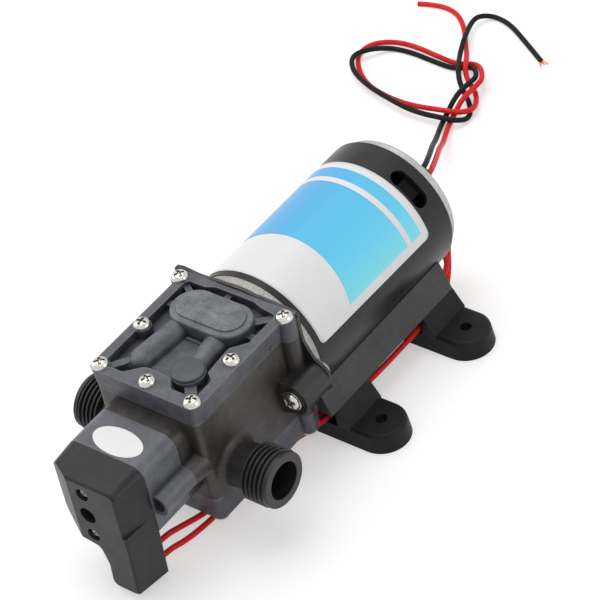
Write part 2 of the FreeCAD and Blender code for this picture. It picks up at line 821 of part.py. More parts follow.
HOLDER_START = COMMUTATOR_START + (COMMUTATOR_LEN - BRUSH_W) / 2
BRUSH_INNER = COMMUTATOR_R + SEAT_GAP
BRUSH_OUTER = BRUSH_INNER + BRUSH_LEN
HOLDER_END = CAN_BORE_R - 1.0
BRUSH_PLATE_REAR = CAP_FRONT - 2.5


def brush_plate():
    """Insulating plate at the motor's rear with a box for each brush."""
    plate = ring(CAN_BORE_R - FIT, COMMUTATOR_R + 2.5, BRUSH_PLATE_REAR - BRUSH_PLATE_T, BRUSH_PLATE_REAR)
    half = BRUSH_W / 2 + HOLDER_WALL
    room = BRUSH_W / 2 + FIT
    inner = COMMUTATOR_R + 1.5
    holder = block(inner, HOLDER_END, HOLDER_START - HOLDER_WALL, BRUSH_PLATE_REAR - BRUSH_PLATE_T, -half,
                   half)
    channel = block(inner - 1, HOLDER_END - HOLDER_WALL, HOLDER_START - FIT, HOLDER_START + BRUSH_W + FIT,
                    -room, room)
    whole = fused([plate] + [brush_gear_turned(holder, BRUSH_ANGLE + turn) for turn in (0, 180)])
    return cut(whole, [brush_gear_turned(channel, BRUSH_ANGLE + turn) for turn in (0, 180)])


def brush(angle):
    """Carbon block whose inner end is hollowed to the commutator."""
    carbon = block(COMMUTATOR_R - 1, BRUSH_OUTER, HOLDER_START, HOLDER_START + BRUSH_W, -BRUSH_W / 2,
                   BRUSH_W / 2)
    hollow = rod(BRUSH_INNER, (0, HOLDER_START - 1, 0), (0, HOLDER_START + BRUSH_W + 1, 0))
    return brush_gear_turned(carbon.cut(hollow), angle)


def brush_spring(angle):
    """Coil spring between the brush and its holder's end wall."""
    y = HOLDER_START + BRUSH_W / 2
    end = HOLDER_END - HOLDER_WALL
    spring = rod(BRUSH_SPRING_R, (BRUSH_OUTER + SEAT_GAP, y, 0), (end, y, 0))
    bore = rod(BRUSH_SPRING_R - BRUSH_SPRING_WIRE, (BRUSH_OUTER, y, 0), (end, y, 0))
    return brush_gear_turned(spring.cut(bore), angle)


SHAFT_FRONT = ROD_Y - ROD_RING_W / 2 - 1.0
SHAFT_REAR = CAP_FRONT - 2.0 + REAR_BEARING_W - 0.5


def motor_shaft():
    return rod(SHAFT_R - FIT / 2, (0, SHAFT_FRONT, 0), (0, SHAFT_REAR, 0))


def eccentric():
    """Offset hub for the rod's bearing, with a balance weight on its light side."""
    front = ROD_Y - ROD_BEARING_W / 2 - 0.5
    weight_front = ROD_Y + ROD_RING_W / 2 + 0.6
    weight_rear = weight_front + BALANCE_T
    hub = rod(ECCENTRIC_R - FIT, (0, front, THROW), (0, weight_front, THROW))
    disc = rod(BALANCE_R, (0, weight_front, 0), (0, weight_rear, 0))
    light = block(-BALANCE_R, BALANCE_R, weight_front, weight_rear, ECCENTRIC_R - 1.2, BALANCE_R + 1)
    core = rod(ECCENTRIC_R, (0, weight_front, 0), (0, weight_rear, 0))
    whole = fused([hub, disc.cut(light), core])
    return whole.cut(rod(SHAFT_R - FIT / 2, (0, front - 1, 0), (0, weight_rear + 1, 0)))


def rod_bearing():
    return shielded_bearing(ROD_BEARING_R, ECCENTRIC_R, ROD_Y - ROD_BEARING_W / 2, ROD_BEARING_W)


PISTON_Z = PART_Z - RUBBER_T


def connecting_rod():
    """Ring about the bearing, with a stem and a piston foot above and below."""
    ring_ = ring(ROD_RING_R, ROD_BEARING_R, ROD_Y - ROD_RING_W / 2, ROD_Y + ROD_RING_W / 2)
    top = PISTON_Z
    stem = rod(STEM_R, (0, ROD_Y, ROD_BEARING_R + 1.0), (0, ROD_Y, top - PISTON_T / 2))
    foot = turned([(0, top - PISTON_T - 1.4), (STEM_R + 1.2, top - PISTON_T - 1.4),
                   (PISTON_R - 0.8, top - PISTON_T),
                   (PISTON_R, top - PISTON_T + 0.6), (PISTON_R, top), (0, top)], (0, ROD_Y, 0), (0, 0, 1))
    arm = fused([stem, foot])
    whole = fused([ring_, arm, flipped(arm)])
    whole = whole.cut(rod(ROD_BEARING_R, (0, ROD_Y - ROD_RING_W, 0), (0, ROD_Y + ROD_RING_W, 0)))
    tap = rod(PISTON_SCREW_R, (0, ROD_Y, top - 2.4), (0, ROD_Y, top))
    return cut(whole, [tap, flipped(tap)])


def piston_clamp():
    """Disc that holds the diaphragm's middle against the rod, countersunk for its screw."""
    low = PART_Z
    disc = turned([(0, low), (CLAMP_R - 0.6, low), (CLAMP_R, low + 0.6), (CLAMP_R, low + CLAMP_T - 0.4),
                   (CLAMP_R - 0.4, low + CLAMP_T), (0, low + CLAMP_T)], (0, ROD_Y, 0), (0, 0, 1))
    return disc.cut(piston_screw())


def piston_screw():
    top = PART_Z + CLAMP_T
    sink = PISTON_SCREW_HEAD_R - PISTON_SCREW_R
    profile = [(0, PISTON_Z - 2.4), (PISTON_SCREW_R, PISTON_Z - 2.4), (PISTON_SCREW_R, top - sink),
               (PISTON_SCREW_HEAD_R, top), (0, top)]
    return turned(profile, (0, ROD_Y, 0), (0, 0, 1))


def diaphragm(lift):
    """Moulded rubber disc: a clamped rim, a roll and a flat middle moved by lift."""
    top = PART_Z
    roll_in = PISTON_R + 0.4
    roll_out = DIAPHRAGM_R - DIAPHRAGM_RIM
    roll_mid = (roll_in + roll_out) / 2
    faces = []
    for z in (top, top - RUBBER_T):
        inner = V(roll_in, 0, z + lift)
        outer = V(roll_out, 0, z)
        middle = V(roll_mid, 0, z + lift / 2 - ROLL_DEPTH)
        faces.append((inner, Part.Arc(inner, middle, outer).toShape(), outer))
    hole = PISTON_SCREW_R
    hole_top = V(hole, 0, top + lift)
    hole_low = V(hole, 0, top - RUBBER_T + lift)
    rim_top = V(DIAPHRAGM_R, 0, top)
    rim_low = V(DIAPHRAGM_R, 0, top - RUBBER_T)
    edges = [
        Part.LineSegment(hole_top, faces[0][0]).toShape(),
        faces[0][1],
        Part.LineSegment(faces[0][2], rim_top).toShape(),
        Part.LineSegment(rim_top, rim_low).toShape(),
        Part.LineSegment(rim_low, faces[1][2]).toShape(),
        faces[1][1],
        Part.LineSegment(faces[1][0], hole_low).toShape(),
        Part.LineSegment(hole_low, hole_top).toShape(),
    ]
    solid = Part.Face(Part.Wire(edges)).revolve(V(0, 0, 0), EZ, 360)
    solid.translate(V(0, ROD_Y, 0))
    return solid


def head_plan(grow):
    """Plan outline of the head: a rectangle with rounded front corners."""
    half = BODY_HALF_X + grow
    return [
        (-half, BODY_FRONT - grow, BODY_CORNER_R),
        (half, BODY_FRONT - grow, BODY_CORNER_R),
        (half, HEAD_REAR, 0),
        (-half, HEAD_REAR, 0),
    ]


def on_throw(shape):
    """Piece of the rod, moved to where the eccentric holds it at rest."""
    shape.translate(V(0, 0, THROW))
    return shape


def screw_places():
    places = []
    for x, y in (REAR_SCREW, SIDE_SCREW, FRONT_SCREW):
        places += [(x, y), (-x, y)]
    return places + [MID_SCREW]


def port_shape():
    """One threaded port along +x: flared root, neck, thread crests as rings, and a plain lip."""
    wall = BODY_HALF_X
    profile = [(0, wall)]
    for i in range(PORT_FLARE_STEPS + 1):
        turn = math.pi / 2 * i / PORT_FLARE_STEPS
        profile.append((PORT_NECK_R + PORT_FLARE * (1 - math.sin(turn)),
                        wall + PORT_FLARE * (1 - math.cos(turn))))
    thread_end = PORT_END - PORT_LIP
    start = thread_end - THREAD_TURNS * THREAD_PITCH
    profile.append((PORT_NECK_R, start))
    flat = THREAD_PITCH * 0.12
    for i in range(THREAD_TURNS):
        base = start + i * THREAD_PITCH
        middle = base + THREAD_PITCH / 2
        profile += [(THREAD_ROOT_R, base + flat), (THREAD_CREST_R, middle - flat),
                    (THREAD_CREST_R, middle + flat), (THREAD_ROOT_R, base + THREAD_PITCH - flat)]
    profile += [(PORT_LIP_R, thread_end + 0.3), (PORT_LIP_R, PORT_END - 0.3), (PORT_LIP_R - 0.3, PORT_END),
                (0, PORT_END)]
    port = turned(profile, (0, PORT_Y, PORT_Z), (1, 0, 0))
    return port.cut(block(wall, start, PORT_Y - FAR, PORT_Y + FAR, -BODY_HALF_Z - FAR, -BODY_HALF_Z))


def lobe():
    """Screw lobe on the head's side, with the sloping webs that join it to the wall."""
    round_ = rod(LOBE_R, (LOBE_X, LOBE_FRONT, LOBE_Z), (LOBE_X, HEAD_REAR, LOBE_Z))
    web = section([(BODY_HALF_X - 2, LOBE_WEB_TOP, 0), (LOBE_X + 1.4, LOBE_Z + LOBE_R - 0.2, 0),
                   (LOBE_X + 1.4, LOBE_Z - LOBE_R + 0.2, 0), (BODY_HALF_X - 2, LOBE_WEB_LOW, 0)],
                  LOBE_FRONT + 0.2, HEAD_REAR)
    return fused([round_, web])


def rear_plate():
    """Thin flange against the motor, arched over the can, with a lobe at each side."""
    left = [(-x, z, r) for x, z, r in reversed(PLATE_SIDE)]
    plate = section(PLATE_SIDE + left, HEAD_REAR, HEAD_REAR + PLATE_T)
    ends = (V(-PLATE_ARCH_X, HEAD_REAR, PLATE_TOP_Z), V(PLATE_ARCH_X, HEAD_REAR, PLATE_TOP_Z))
    crown = Part.Arc(ends[0], V(0, HEAD_REAR, PLATE_TOP_Z + PLATE_ARCH), ends[1]).toShape()
    base = Part.LineSegment(ends[1], ends[0]).toShape()
    arch = Part.Face(Part.Wire([crown, base])).extrude(V(0, PLATE_T, 0))
    return fused([plate, arch])


def switch_section(grow):
    """Front-view outline shared by the head's front boss and the switch base."""
    half = SWITCH_HALF_X + grow
    return [
        (-half, SWITCH_LOW - grow, 2.0),
        (half, SWITCH_LOW - grow, 2.0),
        (half, SWITCH_TOP + grow, SWITCH_CORNER_R + grow),
        (-half, SWITCH_TOP + grow, SWITCH_CORNER_R + grow),
    ]


def pump_body():
    """Moulded head: block, ports, screw lobes, rear plate, switch boss and its bores."""
    head_block = slab(head_plan(0), -BODY_HALF_Z, BODY_HALF_Z)
    x, y = REAR_SCREW
    columns = sides(fused([rod(EAR_R, (x, y, -BODY_HALF_Z), (x, y, BODY_HALF_Z)),
                           block(x - EAR_R, x + EAR_R * 0.5, y, HEAD_REAR, -BODY_HALF_Z, BODY_HALF_Z)]))
    boss = section(switch_section(0), BOSS_FRONT, BODY_FRONT + 1)
    pads = sides(Part.makeCone(COLUMN_R, COLUMN_R + 1.0, BODY_FRONT - BOSS_FRONT + 1,
                               V(COLUMN_X, BOSS_FRONT, COLUMN_Z), EY))
    front_slab = block(-FAR, FAR, BOSS_FRONT, BODY_FRONT + 1, -BODY_HALF_Z, BODY_HALF_Z)
    pads = [pad.common(front_slab) for pad in pads]
    body = fused([head_block] + columns + [boss] + pads + sides(lobe()) + [rear_plate()]
                 + sides(port_shape()))
    cuts = [
        rod(CRANK_BORE_R, (0, CRANK_FRONT, 0), (0, -FLANGE_T, 0)),
        rod(DIAPHRAGM_R - DIAPHRAGM_RIM + 0.2, (0, ROD_Y, -PISTON_Z), (0, ROD_Y, PISTON_Z)),
        rod(PRESSURE_HOLE_R, (0, BOSS_FRONT, SWITCH_AXIS_Z), (0, PORT_Y, SWITCH_AXIS_Z)),
        rod(PRESSURE_HOLE_R, (0, PORT_Y, SWITCH_AXIS_Z + PRESSURE_HOLE_R), (0, PORT_Y, PORT_Z)),
        rod(PRESSURE_RECESS_R, (0, BOSS_FRONT, SWITCH_AXIS_Z),
            (0, BOSS_FRONT + PRESSURE_RECESS, SWITCH_AXIS_Z)),
        rod(CHANNEL_R, (-PRESSURE_HOLE_R - 1.0, PORT_Y, PORT_Z), (PORT_END, PORT_Y, PORT_Z)),
        rod(CHANNEL_R, (LEFT_BOSS_X + 3.0, PORT_Y, PORT_Z), (-PORT_END, PORT_Y, PORT_Z)),
    ]
    well = rod(DIAPHRAGM_R + FIT, (0, ROD_Y, PISTON_Z), (0, ROD_Y, BODY_HALF_Z))
    cuts += [well, flipped(well)]
    cuts += sides(rod(PORT_BORE_R, (PORT_END - PORT_BORE_DEPTH, PORT_Y, PORT_Z), (PORT_END, PORT_Y, PORT_Z)))
    cuts += sides(rod(SCREW_HOLE_R, (LOBE_X, LOBE_FRONT, LOBE_Z), (LOBE_X, -FLANGE_T, LOBE_Z)))
    cuts += sides(rod(SCREW_R + FIT, (COLUMN_X, BOSS_FRONT, COLUMN_Z), (COLUMN_X, BODY_FRONT + 3, COLUMN_Z)))
    for x, y in ((LEFT_BOSS_X, LEFT_BOSS_Y), (RIGHT_BOSS_X, RIGHT_BOSS_Y)):
        cuts.append(rod(DUCT_BORE_R, (x, y, -BODY_HALF_Z), (x, y, BODY_HALF_Z)))
        recess = rod(SEAL_R, (x, y, BODY_HALF_Z - SEAL_RECESS), (x, y, BODY_HALF_Z))
        cuts += [recess, flipped(recess)]
    for x, y in screw_places():
        hole = rod(SCREW_R + FIT, (x, y, RIM_Z - SCREW_LEN - 1), (x, y, BODY_HALF_Z))
        cuts += [hole, flipped(hole)]
    return cut(body, cuts)


def port_seals():
    """Flat rubber rings where the ducts cross from the head into the covers."""
    rings = []
    for x, y in ((LEFT_BOSS_X, LEFT_BOSS_Y), (RIGHT_BOSS_X, RIGHT_BOSS_Y)):
        seal = rod(SEAL_R - FIT, (x, y, BODY_HALF_Z - SEAL_RECESS), (x, y, BODY_HALF_Z))
        seal = seal.cut(rod(SEAL_R - SEAL_T, (x, y, 0), (x, y, RIM_Z)))
        rings += [seal, flipped(seal)]
    return Part.makeCompound(rings)


def recess_plan():
    """Plan outline of the cover's recess: broad lands at the right and round the front's middle screw."""
    side = BODY_HALF_X - RECESS_SIDE_RIM
    front = BODY_FRONT + RECESS_FRONT_RIM
    rear = HEAD_REAR - RECESS_REAR_RIM
    land_y = SIDE_SCREW[1]
    return [
        (-side, front, 1.5),
        (MID_SCREW[0] - 10.6, front, 2.0),
        (MID_SCREW[0] - 5.4, front + 5.6, 4.5),
        (MID_SCREW[0] + 5.2, front + 5.4, 4.5),
        (MID_SCREW[0] + 9.2, front + 1.2, 2.0),
        (MOAT_X, front + 1.2, 1.5),
        (MOAT_X, RIGHT_BOSS_Y, 2.5),
        (RIGHT_BOSS_X + RIGHT_BOSS_R + 0.2, RIGHT_BOSS_Y + 2.7, 0.8),
        (RIGHT_BOSS_X + RIGHT_BOSS_R - 0.6, land_y + 2.6, 0.8),
        (RIGHT_BOSS_X + RIGHT_BOSS_R - 0.6, land_y + 4.4, 0.4),
        (side - 0.3, land_y + 9.8, 1.2),
        (side - 0.3, rear - 2.0, 1.8),
        (side - 7.0, rear - 1.3, 3.0),
        (side - 11.0, rear, 3.0),
        (-side + 11.5, rear, 3.0),
        (-side + 8.0, rear - 1.6, 2.0),
        (-side, rear - 1.6, 1.8),
    ]


def cover_block():
    """The cover's outer block: it widens a little from the seam to its rim."""
    seam = outline(head_plan(0), lambda p: V(p.x, p.y, PART_Z))
    half = BODY_HALF_X + COVER_FLARE
    rim_plan = [
        (-half, BODY_FRONT - COVER_FLARE_FRONT, BODY_CORNER_R),
        (half, BODY_FRONT - COVER_FLARE_FRONT, BODY_CORNER_R),
        (half, HEAD_REAR, 0),
        (-half, HEAD_REAR, 0),
    ]
    rim = outline(rim_plan, lambda p: V(p.x, p.y, RIM_Z))
    return Part.makeLoft([seam, rim], True, True)


def left_duct():
    """Inlet duct: widens to the front, with a blunt nose, a boss below it and a small nub."""
    top = PART_Z + DUCT_TOP
    start = V(LEFT_DUCT_START_X, ROD_Y - DOME_HALF_Y + 3, top - LEFT_DUCT_R)
    end = V(LEFT_BOSS_X, LEFT_BOSS_Y, top - LEFT_DUCT_END_R)
    along = end - start
    r = LEFT_DUCT_END_R
    nose = turned([(0, -0.5), (r, -0.5), (r, 0.4), (r - 0.4, 1.9), (r - 1.3, 3.1),
                   (r - 2.6, LEFT_DUCT_NOSE - 0.3),
                   (0, LEFT_DUCT_NOSE)], end, along)
    nub_z = PART_Z + NUB_TOP - NUB_R
    return [
        Part.makeCone(LEFT_DUCT_R, r, along.Length, start, along),
        nose,
        rod(r, (end.x, end.y, FLOOR_Z - 1), (end.x, end.y, end.z)),
        rod(NUB_R, (NUB_X, NUB_Y, FLOOR_Z - 1), (NUB_X, NUB_Y, nub_z)),
        Part.makeSphere(NUB_R, V(NUB_X, NUB_Y, nub_z)),
    ]


def right_duct():
    """Outlet duct, ending in a flat round boss."""
    z = PART_Z + DUCT_TOP - RIGHT_DUCT_R
    boss_top = PART_Z + RIGHT_BOSS_TOP
    return [
        rod(RIGHT_DUCT_R, (RIGHT_DUCT_START_X, ROD_Y - DOME_HALF_Y + 3, z), (RIGHT_BOSS_X, RIGHT_BOSS_Y, z)),
        turned([(0, FLOOR_Z - 1), (RIGHT_BOSS_R + 0.2, FLOOR_Z - 1), (RIGHT_BOSS_R, boss_top - 0.6),
                (RIGHT_BOSS_R - 0.6, boss_top), (0, boss_top)], (RIGHT_BOSS_X, RIGHT_BOSS_Y, 0), (0, 0, 1)),
    ]


def cover_ribs():
    low = FLOOR_Z - 1
    top = PART_Z + RIB_TOP
    front_x, front_y = FRONT_SCREW
    rear = HEAD_REAR - 1.5
    side = BODY_HALF_X - 1.5
    dome_end = DOME_HALF_X - 2.0
    return [
        bar((LEFT_BOSS_X, LEFT_BOSS_Y), (1.8 - front_x, front_y + 1.8), RIB_W + 0.6, low, top),
        bar((RIGHT_BOSS_X, RIGHT_BOSS_Y), (front_x - 2.2, front_y + 2.2), RIB_W + 1.6, low, top),
        bar((4.0 - DOME_HALF_X, ROD_Y + DOME_HALF_Y - 3.5), (-side, rear - 2.5), RIB_W, low, top),
        bar((-2.4, ROD_Y + DOME_HALF_Y - 1.5), (-2.4, rear), RIB_W, low, top),
        bar((DOME_HALF_X - 3.5, ROD_Y + DOME_HALF_Y - 4.0), (side - 1.0, rear - 2.0), RIB_W + 0.6, low, top),
        bar((-dome_end, ROD_Y), (-side, ROD_Y), RIB_W, low, top),
        bar((dome_end, ROD_Y - 0.5), (side, ROD_Y - 0.5), RIB_W, low, top),
        bar((-4.0, ROD_Y - DOME_HALF_Y - 1.2), (4.0, ROD_Y - DOME_HALF_Y - 1.2), 0.9, low,
            FLOOR_Z + LEDGE_TOP),
    ]


def duct_cuts():
    """Ways from the valves' room through the ducts down to the seals."""
    turn_y = ROD_Y - VALVE_HALF_Y - FIT
    half = DUCT_BORE_R * 0.8
    ways = []
    for side_x, bx, by in ((LEFT_DUCT_START_X, LEFT_BOSS_X, LEFT_BOSS_Y),
                           (RIGHT_DUCT_START_X, RIGHT_BOSS_X, RIGHT_BOSS_Y)):
        ways.append(rod(DUCT_BORE_R, (side_x, turn_y - 0.3, DUCT_AXIS_Z), (bx, by, DUCT_AXIS_Z)))
        ways.append(block(side_x - half, side_x + half, turn_y - 0.9, turn_y + 0.5, DUCT_AXIS_Z,
                          PART_Z + DOME_CEILING - 0.6))
        ways.append(rod(DUCT_BORE_R, (bx, by, PART_Z), (bx, by, DUCT_AXIS_Z)))
    return ways


def cover():
    """Moulded cover: rimmed block with a recessed floor, valve dome, two ducts and ribs."""
    x, y = REAR_SCREW
    ears = sides(fused([rod(EAR_R, (x, y, PART_Z), (x, y, RIM_Z)),
                        block(x - EAR_R, x + EAR_R * 0.5, y, HEAD_REAR, PART_Z, RIM_Z)]))
    recess = slab(recess_plan(), FLOOR_Z, RIM_Z + 1)
    for sx, sy in screw_places():
        recess = recess.cut(rod(SCREW_BOSS_R, (sx, sy, FLOOR_Z), (sx, sy, RIM_Z)))
    whole = fused([cover_block()] + ears).cut(recess)
    dome = slab(stadium(DOME_HALF_X, DOME_HALF_Y, ROD_Y), FLOOR_Z - 1, DOME_Z)
    dome = dome.makeFillet(1.0, [e for e in dome.Edges if min(v.Z for v in e.Vertexes) > DOME_Z - 0.01])
    plateau = slab(stadium(DOME_HALF_X - PLATEAU_IN, DOME_HALF_Y - PLATEAU_IN, ROD_Y), DOME_Z - 1,
                   DOME_Z + PLATEAU_UP)
    plateau = plateau.makeFillet(0.5, [e for e in plateau.Edges
                                       if min(v.Z for v in e.Vertexes) > DOME_Z + PLATEAU_UP - 0.01])
    whole = fused([whole, dome, plateau] + left_duct() + right_duct() + cover_ribs())
    whole = whole.common(block(-FAR, FAR, -FAR, HEAD_REAR, PART_Z, FAR))
    ceiling = PART_Z + DOME_CEILING
    pocket = rod(PLATE_DISC_R + FIT, (0, ROD_Y, PART_Z), (0, ROD_Y, PART_Z + PLATE_DISC_T + FIT))
    cavity = slab(stadium(VALVE_HALF_X + FIT, VALVE_HALF_Y + FIT, ROD_Y), PART_Z + PLATE_DISC_T,
                  PART_Z + WEB_TOP + FIT)
    above = slab(stadium(VALVE_HALF_X + FIT, VALVE_HALF_Y + FIT, ROD_Y), PART_Z + WEB_TOP, ceiling)
    divider = block(-DIVIDER_HALF, DIVIDER_HALF, ROD_Y - FAR, ROD_Y + FAR, PART_Z + WEB_TOP + FIT, ceiling)
    cuts = [pocket, cavity, above.cut(divider)] + duct_cuts()
    for sx, sy in screw_places():
        cuts.append(rod(SCREW_HOLE_R, (sx, sy, PART_Z), (sx, sy, RIM_Z)))
    return cut(whole, cuts)


def valve_plate():
    """Plate under the dome: pump chamber below, two seats with guides and flow holes."""
    disc = rod(PLATE_DISC_R, (0, ROD_Y, PART_Z), (0, ROD_Y, PART_Z + PLATE_DISC_T))
    upper = slab(stadium(VALVE_HALF_X, VALVE_HALF_Y, ROD_Y), PART_Z + PLATE_DISC_T, PART_Z + WEB_TOP)
    plate = fused([disc, upper])
    chamber_top = CHAMBER_Z
    cuts = [rod(CHAMBER_R, (0, ROD_Y, PART_Z), (0, ROD_Y, chamber_top))]
    for x, pocket_r in ((-VALVE_X, VALVE_HEAD_R + APART), (VALVE_X, 3.3)):
        cuts.append(rod(pocket_r, (x, ROD_Y, chamber_top), (x, ROD_Y, PART_Z + WEB_LOW)))
        cuts.append(rod(VALVE_STEM_R + FIT, (x, ROD_Y, PART_Z), (x, ROD_Y, PART_Z + WEB_TOP)))
        for i in range(4):
            turn = math.radians(45 + 90 * i)
            hx = x + FLOW_HOLE_PITCH_R * math.cos(turn)
            hy = ROD_Y + FLOW_HOLE_PITCH_R * math.sin(turn)
            cuts.append(rod(FLOW_HOLE_R, (hx, hy, PART_Z), (hx, hy, PART_Z + WEB_TOP)))
    return cut(plate, cuts)


def valve(x, seat, lifts):
    """Umbrella valve: a thin domed head on its seat, a stem and a retaining bulb."""
    web = WEB_TOP - WEB_LOW
    bulb = web + VALVE_TRAVEL + 2 * SEAT_GAP
    profile = [
        (0, -bulb - VALVE_BULB_T),
        (VALVE_BULB_R * 0.6, -bulb - VALVE_BULB_T),
        (VALVE_BULB_R, -bulb),
        (VALVE_STEM_R, -bulb),
        (VALVE_STEM_R, SEAT_GAP),
        (VALVE_HEAD_R, SEAT_GAP),
        (VALVE_HEAD_R, SEAT_GAP + 0.4),
        (VALVE_STEM_R, SEAT_GAP + VALVE_HEAD_T),
        (0, SEAT_GAP + VALVE_HEAD_T),
    ]
    return turned(profile, (x, ROD_Y, seat), (0, 0, lifts))


def cover_screws():
    screws = [pan_screw((x, y, RIM_Z), SCREW_R, SCREW_HEAD_R, SCREW_HEAD_T, SCREW_LEN, (0, 0, -1))
              for x, y in screw_places()]
    return Part.makeCompound(screws)


def head_screws():
    """The two screws through the lobes into the motor's flange, with a washer under each head."""
    length = -LOBE_FRONT - 0.3
    r = HEAD_SCREW_HEAD_R
    t = HEAD_SCREW_HEAD_T
    profile = [(0, -length), (SCREW_R * 0.5, -length), (SCREW_R, SCREW_R - length), (SCREW_R, 0),
               (HEAD_WASHER_R, 0),
               (HEAD_WASHER_R, HEAD_WASHER_T), (r, HEAD_WASHER_T), (r, t * 0.6), (r * 0.82, t * 0.85),
               (r * 0.45, t), (0, t)]
    return Part.makeCompound([turned(profile, (x, LOBE_FRONT, LOBE_Z), (0, -1, 0))
                              for x in (LOBE_X, -LOBE_X)])


PLUNGER_FACE = BOSS_FRONT - SWITCH_RUBBER_T
BASE_FLOOR_FRONT = PLUNGER_FACE - BASE_FLOOR


def switch_base():
    """Moulded shell on the front of the head, with a plunger guide and two screw columns."""
    outer = section(switch_section(0), BASE_FRONT, BOSS_FRONT)
    w = BASE_WALL
    inner = section([(-SWITCH_HALF_X + w, SWITCH_LOW + w, 1.0), (SWITCH_HALF_X - w, SWITCH_LOW + w, 1.0),
                     (SWITCH_HALF_X - w, SWITCH_TOP - w, SWITCH_CORNER_R - w),
                     (-SWITCH_HALF_X + w, SWITCH_TOP - w, SWITCH_CORNER_R - w)], BASE_FRONT, BASE_FLOOR_FRONT)
    columns = sides(rod(COLUMN_R, (COLUMN_X, COLUMN_FRONT, COLUMN_Z), (COLUMN_X, BOSS_FRONT, COLUMN_Z)))
    posts = []
    for z in (SWITCH_SCREW_UP, SWITCH_SCREW_DOWN):
        posts.append(rod(POST_R, (0, BASE_FRONT, SWITCH_AXIS_Z + z),
                         (0, BASE_FLOOR_FRONT, SWITCH_AXIS_Z + z)))
    shell = fused([outer.cut(inner)] + columns + posts)
    shell = cut(shell, [
        rod(SWITCH_RUBBER_R + FIT, (0, PLUNGER_FACE, SWITCH_AXIS_Z), (0, BOSS_FRONT, SWITCH_AXIS_Z)),
        rod(PLUNGER_R + FIT, (0, BASE_FLOOR_FRONT, SWITCH_AXIS_Z), (0, BOSS_FRONT, SWITCH_AXIS_Z)),
    ])
    holes = sides(rod(COLUMN_BORE_R, (COLUMN_X, COLUMN_FRONT, COLUMN_Z),
                      (COLUMN_X, BASE_SCREW_SEAT, COLUMN_Z)))
    holes += sides(rod(SCREW_HOLE_R, (COLUMN_X, BASE_SCREW_SEAT, COLUMN_Z), (COLUMN_X, BOSS_FRONT, COLUMN_Z)))
    for z in (SWITCH_SCREW_UP, SWITCH_SCREW_DOWN):
        holes.append(rod(SWITCH_SCREW_R + FIT, (0, BASE_FRONT, SWITCH_AXIS_Z + z),
                         (0, BASE_FRONT + 10, SWITCH_AXIS_Z + z)))
    return cut(shell, holes)


def switch_diaphragm():
    disc = rod(SWITCH_RUBBER_R, (0, PLUNGER_FACE, SWITCH_AXIS_Z), (0, BOSS_FRONT, SWITCH_AXIS_Z))
    dish = rod(PRESSURE_RECESS_R - 1.5, (0, BOSS_FRONT - 0.3, SWITCH_AXIS_Z), (0, BOSS_FRONT, SWITCH_AXIS_Z))
    return disc.cut(dish)


def switch_base_screws():
    length = BODY_FRONT + 2.5 - BASE_SCREW_SEAT
    screws = [pan_screw((x, BASE_SCREW_SEAT, COLUMN_Z), SCREW_R, COLUMN_BORE_R - 0.25, SCREW_HEAD_T, length,
                        (0, 1, 0))
              for x in (COLUMN_X, -COLUMN_X)]
    return Part.makeCompound(screws)


def cover_section(shrink, y):
    """Outline of the switch cover at one depth: the base's outline with a tail below."""
    s = shrink
    right = SWITCH_HALF_X - s
    corners = [
        (-SWITCH_HALF_X + s, SWITCH_TOP - s, SWITCH_CORNER_R - s),
        (right, SWITCH_TOP - s, SWITCH_CORNER_R - s),
        (right - 0.4, SWITCH_LOW, 0),
        (TAIL_RIGHT - s, TAIL_LOW + s, 1.2),
        (TAIL_LEFT + s, TAIL_LOW + s, 2.4),
        (TAIL_LEFT + 0.8 + s, -22.5, 5.0),
        (TAIL_LEFT - 1.2 + s, -16.6 + s, 3.0),
        (-5.8, -15.6 + s, 2.0),
        (-SWITCH_HALF_X + s, -8.5, 3.0),
    ]
    return outline(corners, lambda p: V(p.x, y, p.y))


def behind_facet(inset):
    """Everything in front of the slanted facet, or of a plane that far behind it."""
    slope = (FACET_SIDE_Y - COVER_FRONT) / (FACET_X + SWITCH_HALF_X)
    reach = 30.0
    x = FACET_X + inset * 0.5
    y = COVER_FRONT + inset
    facet = Part.makePolygon([
        V(x, y, -FAR),
        V(x - reach, y + slope * reach, -FAR),
        V(x - reach, y - reach, -FAR),
        V(x, y - reach, -FAR),
        V(x, y, -FAR),
    ])
    return Part.Face(facet).extrude(V(0, 0, 2 * FAR))


def side_hollow(y, depth):
    """One section of the hollow in the cover's right side, cut this deep into it."""
    inner = SWITCH_HALF_X - depth
    outer = SWITCH_HALF_X + 3
    return Part.makePolygon([
        V(outer, y, HOLLOW_TOP + HOLLOW_SLANT),
        V(inner, y, HOLLOW_TOP),
        V(inner, y, HOLLOW_LOW),
        V(outer, y, HOLLOW_LOW - HOLLOW_SLANT),
        V(outer, y, HOLLOW_TOP + HOLLOW_SLANT),
    ])


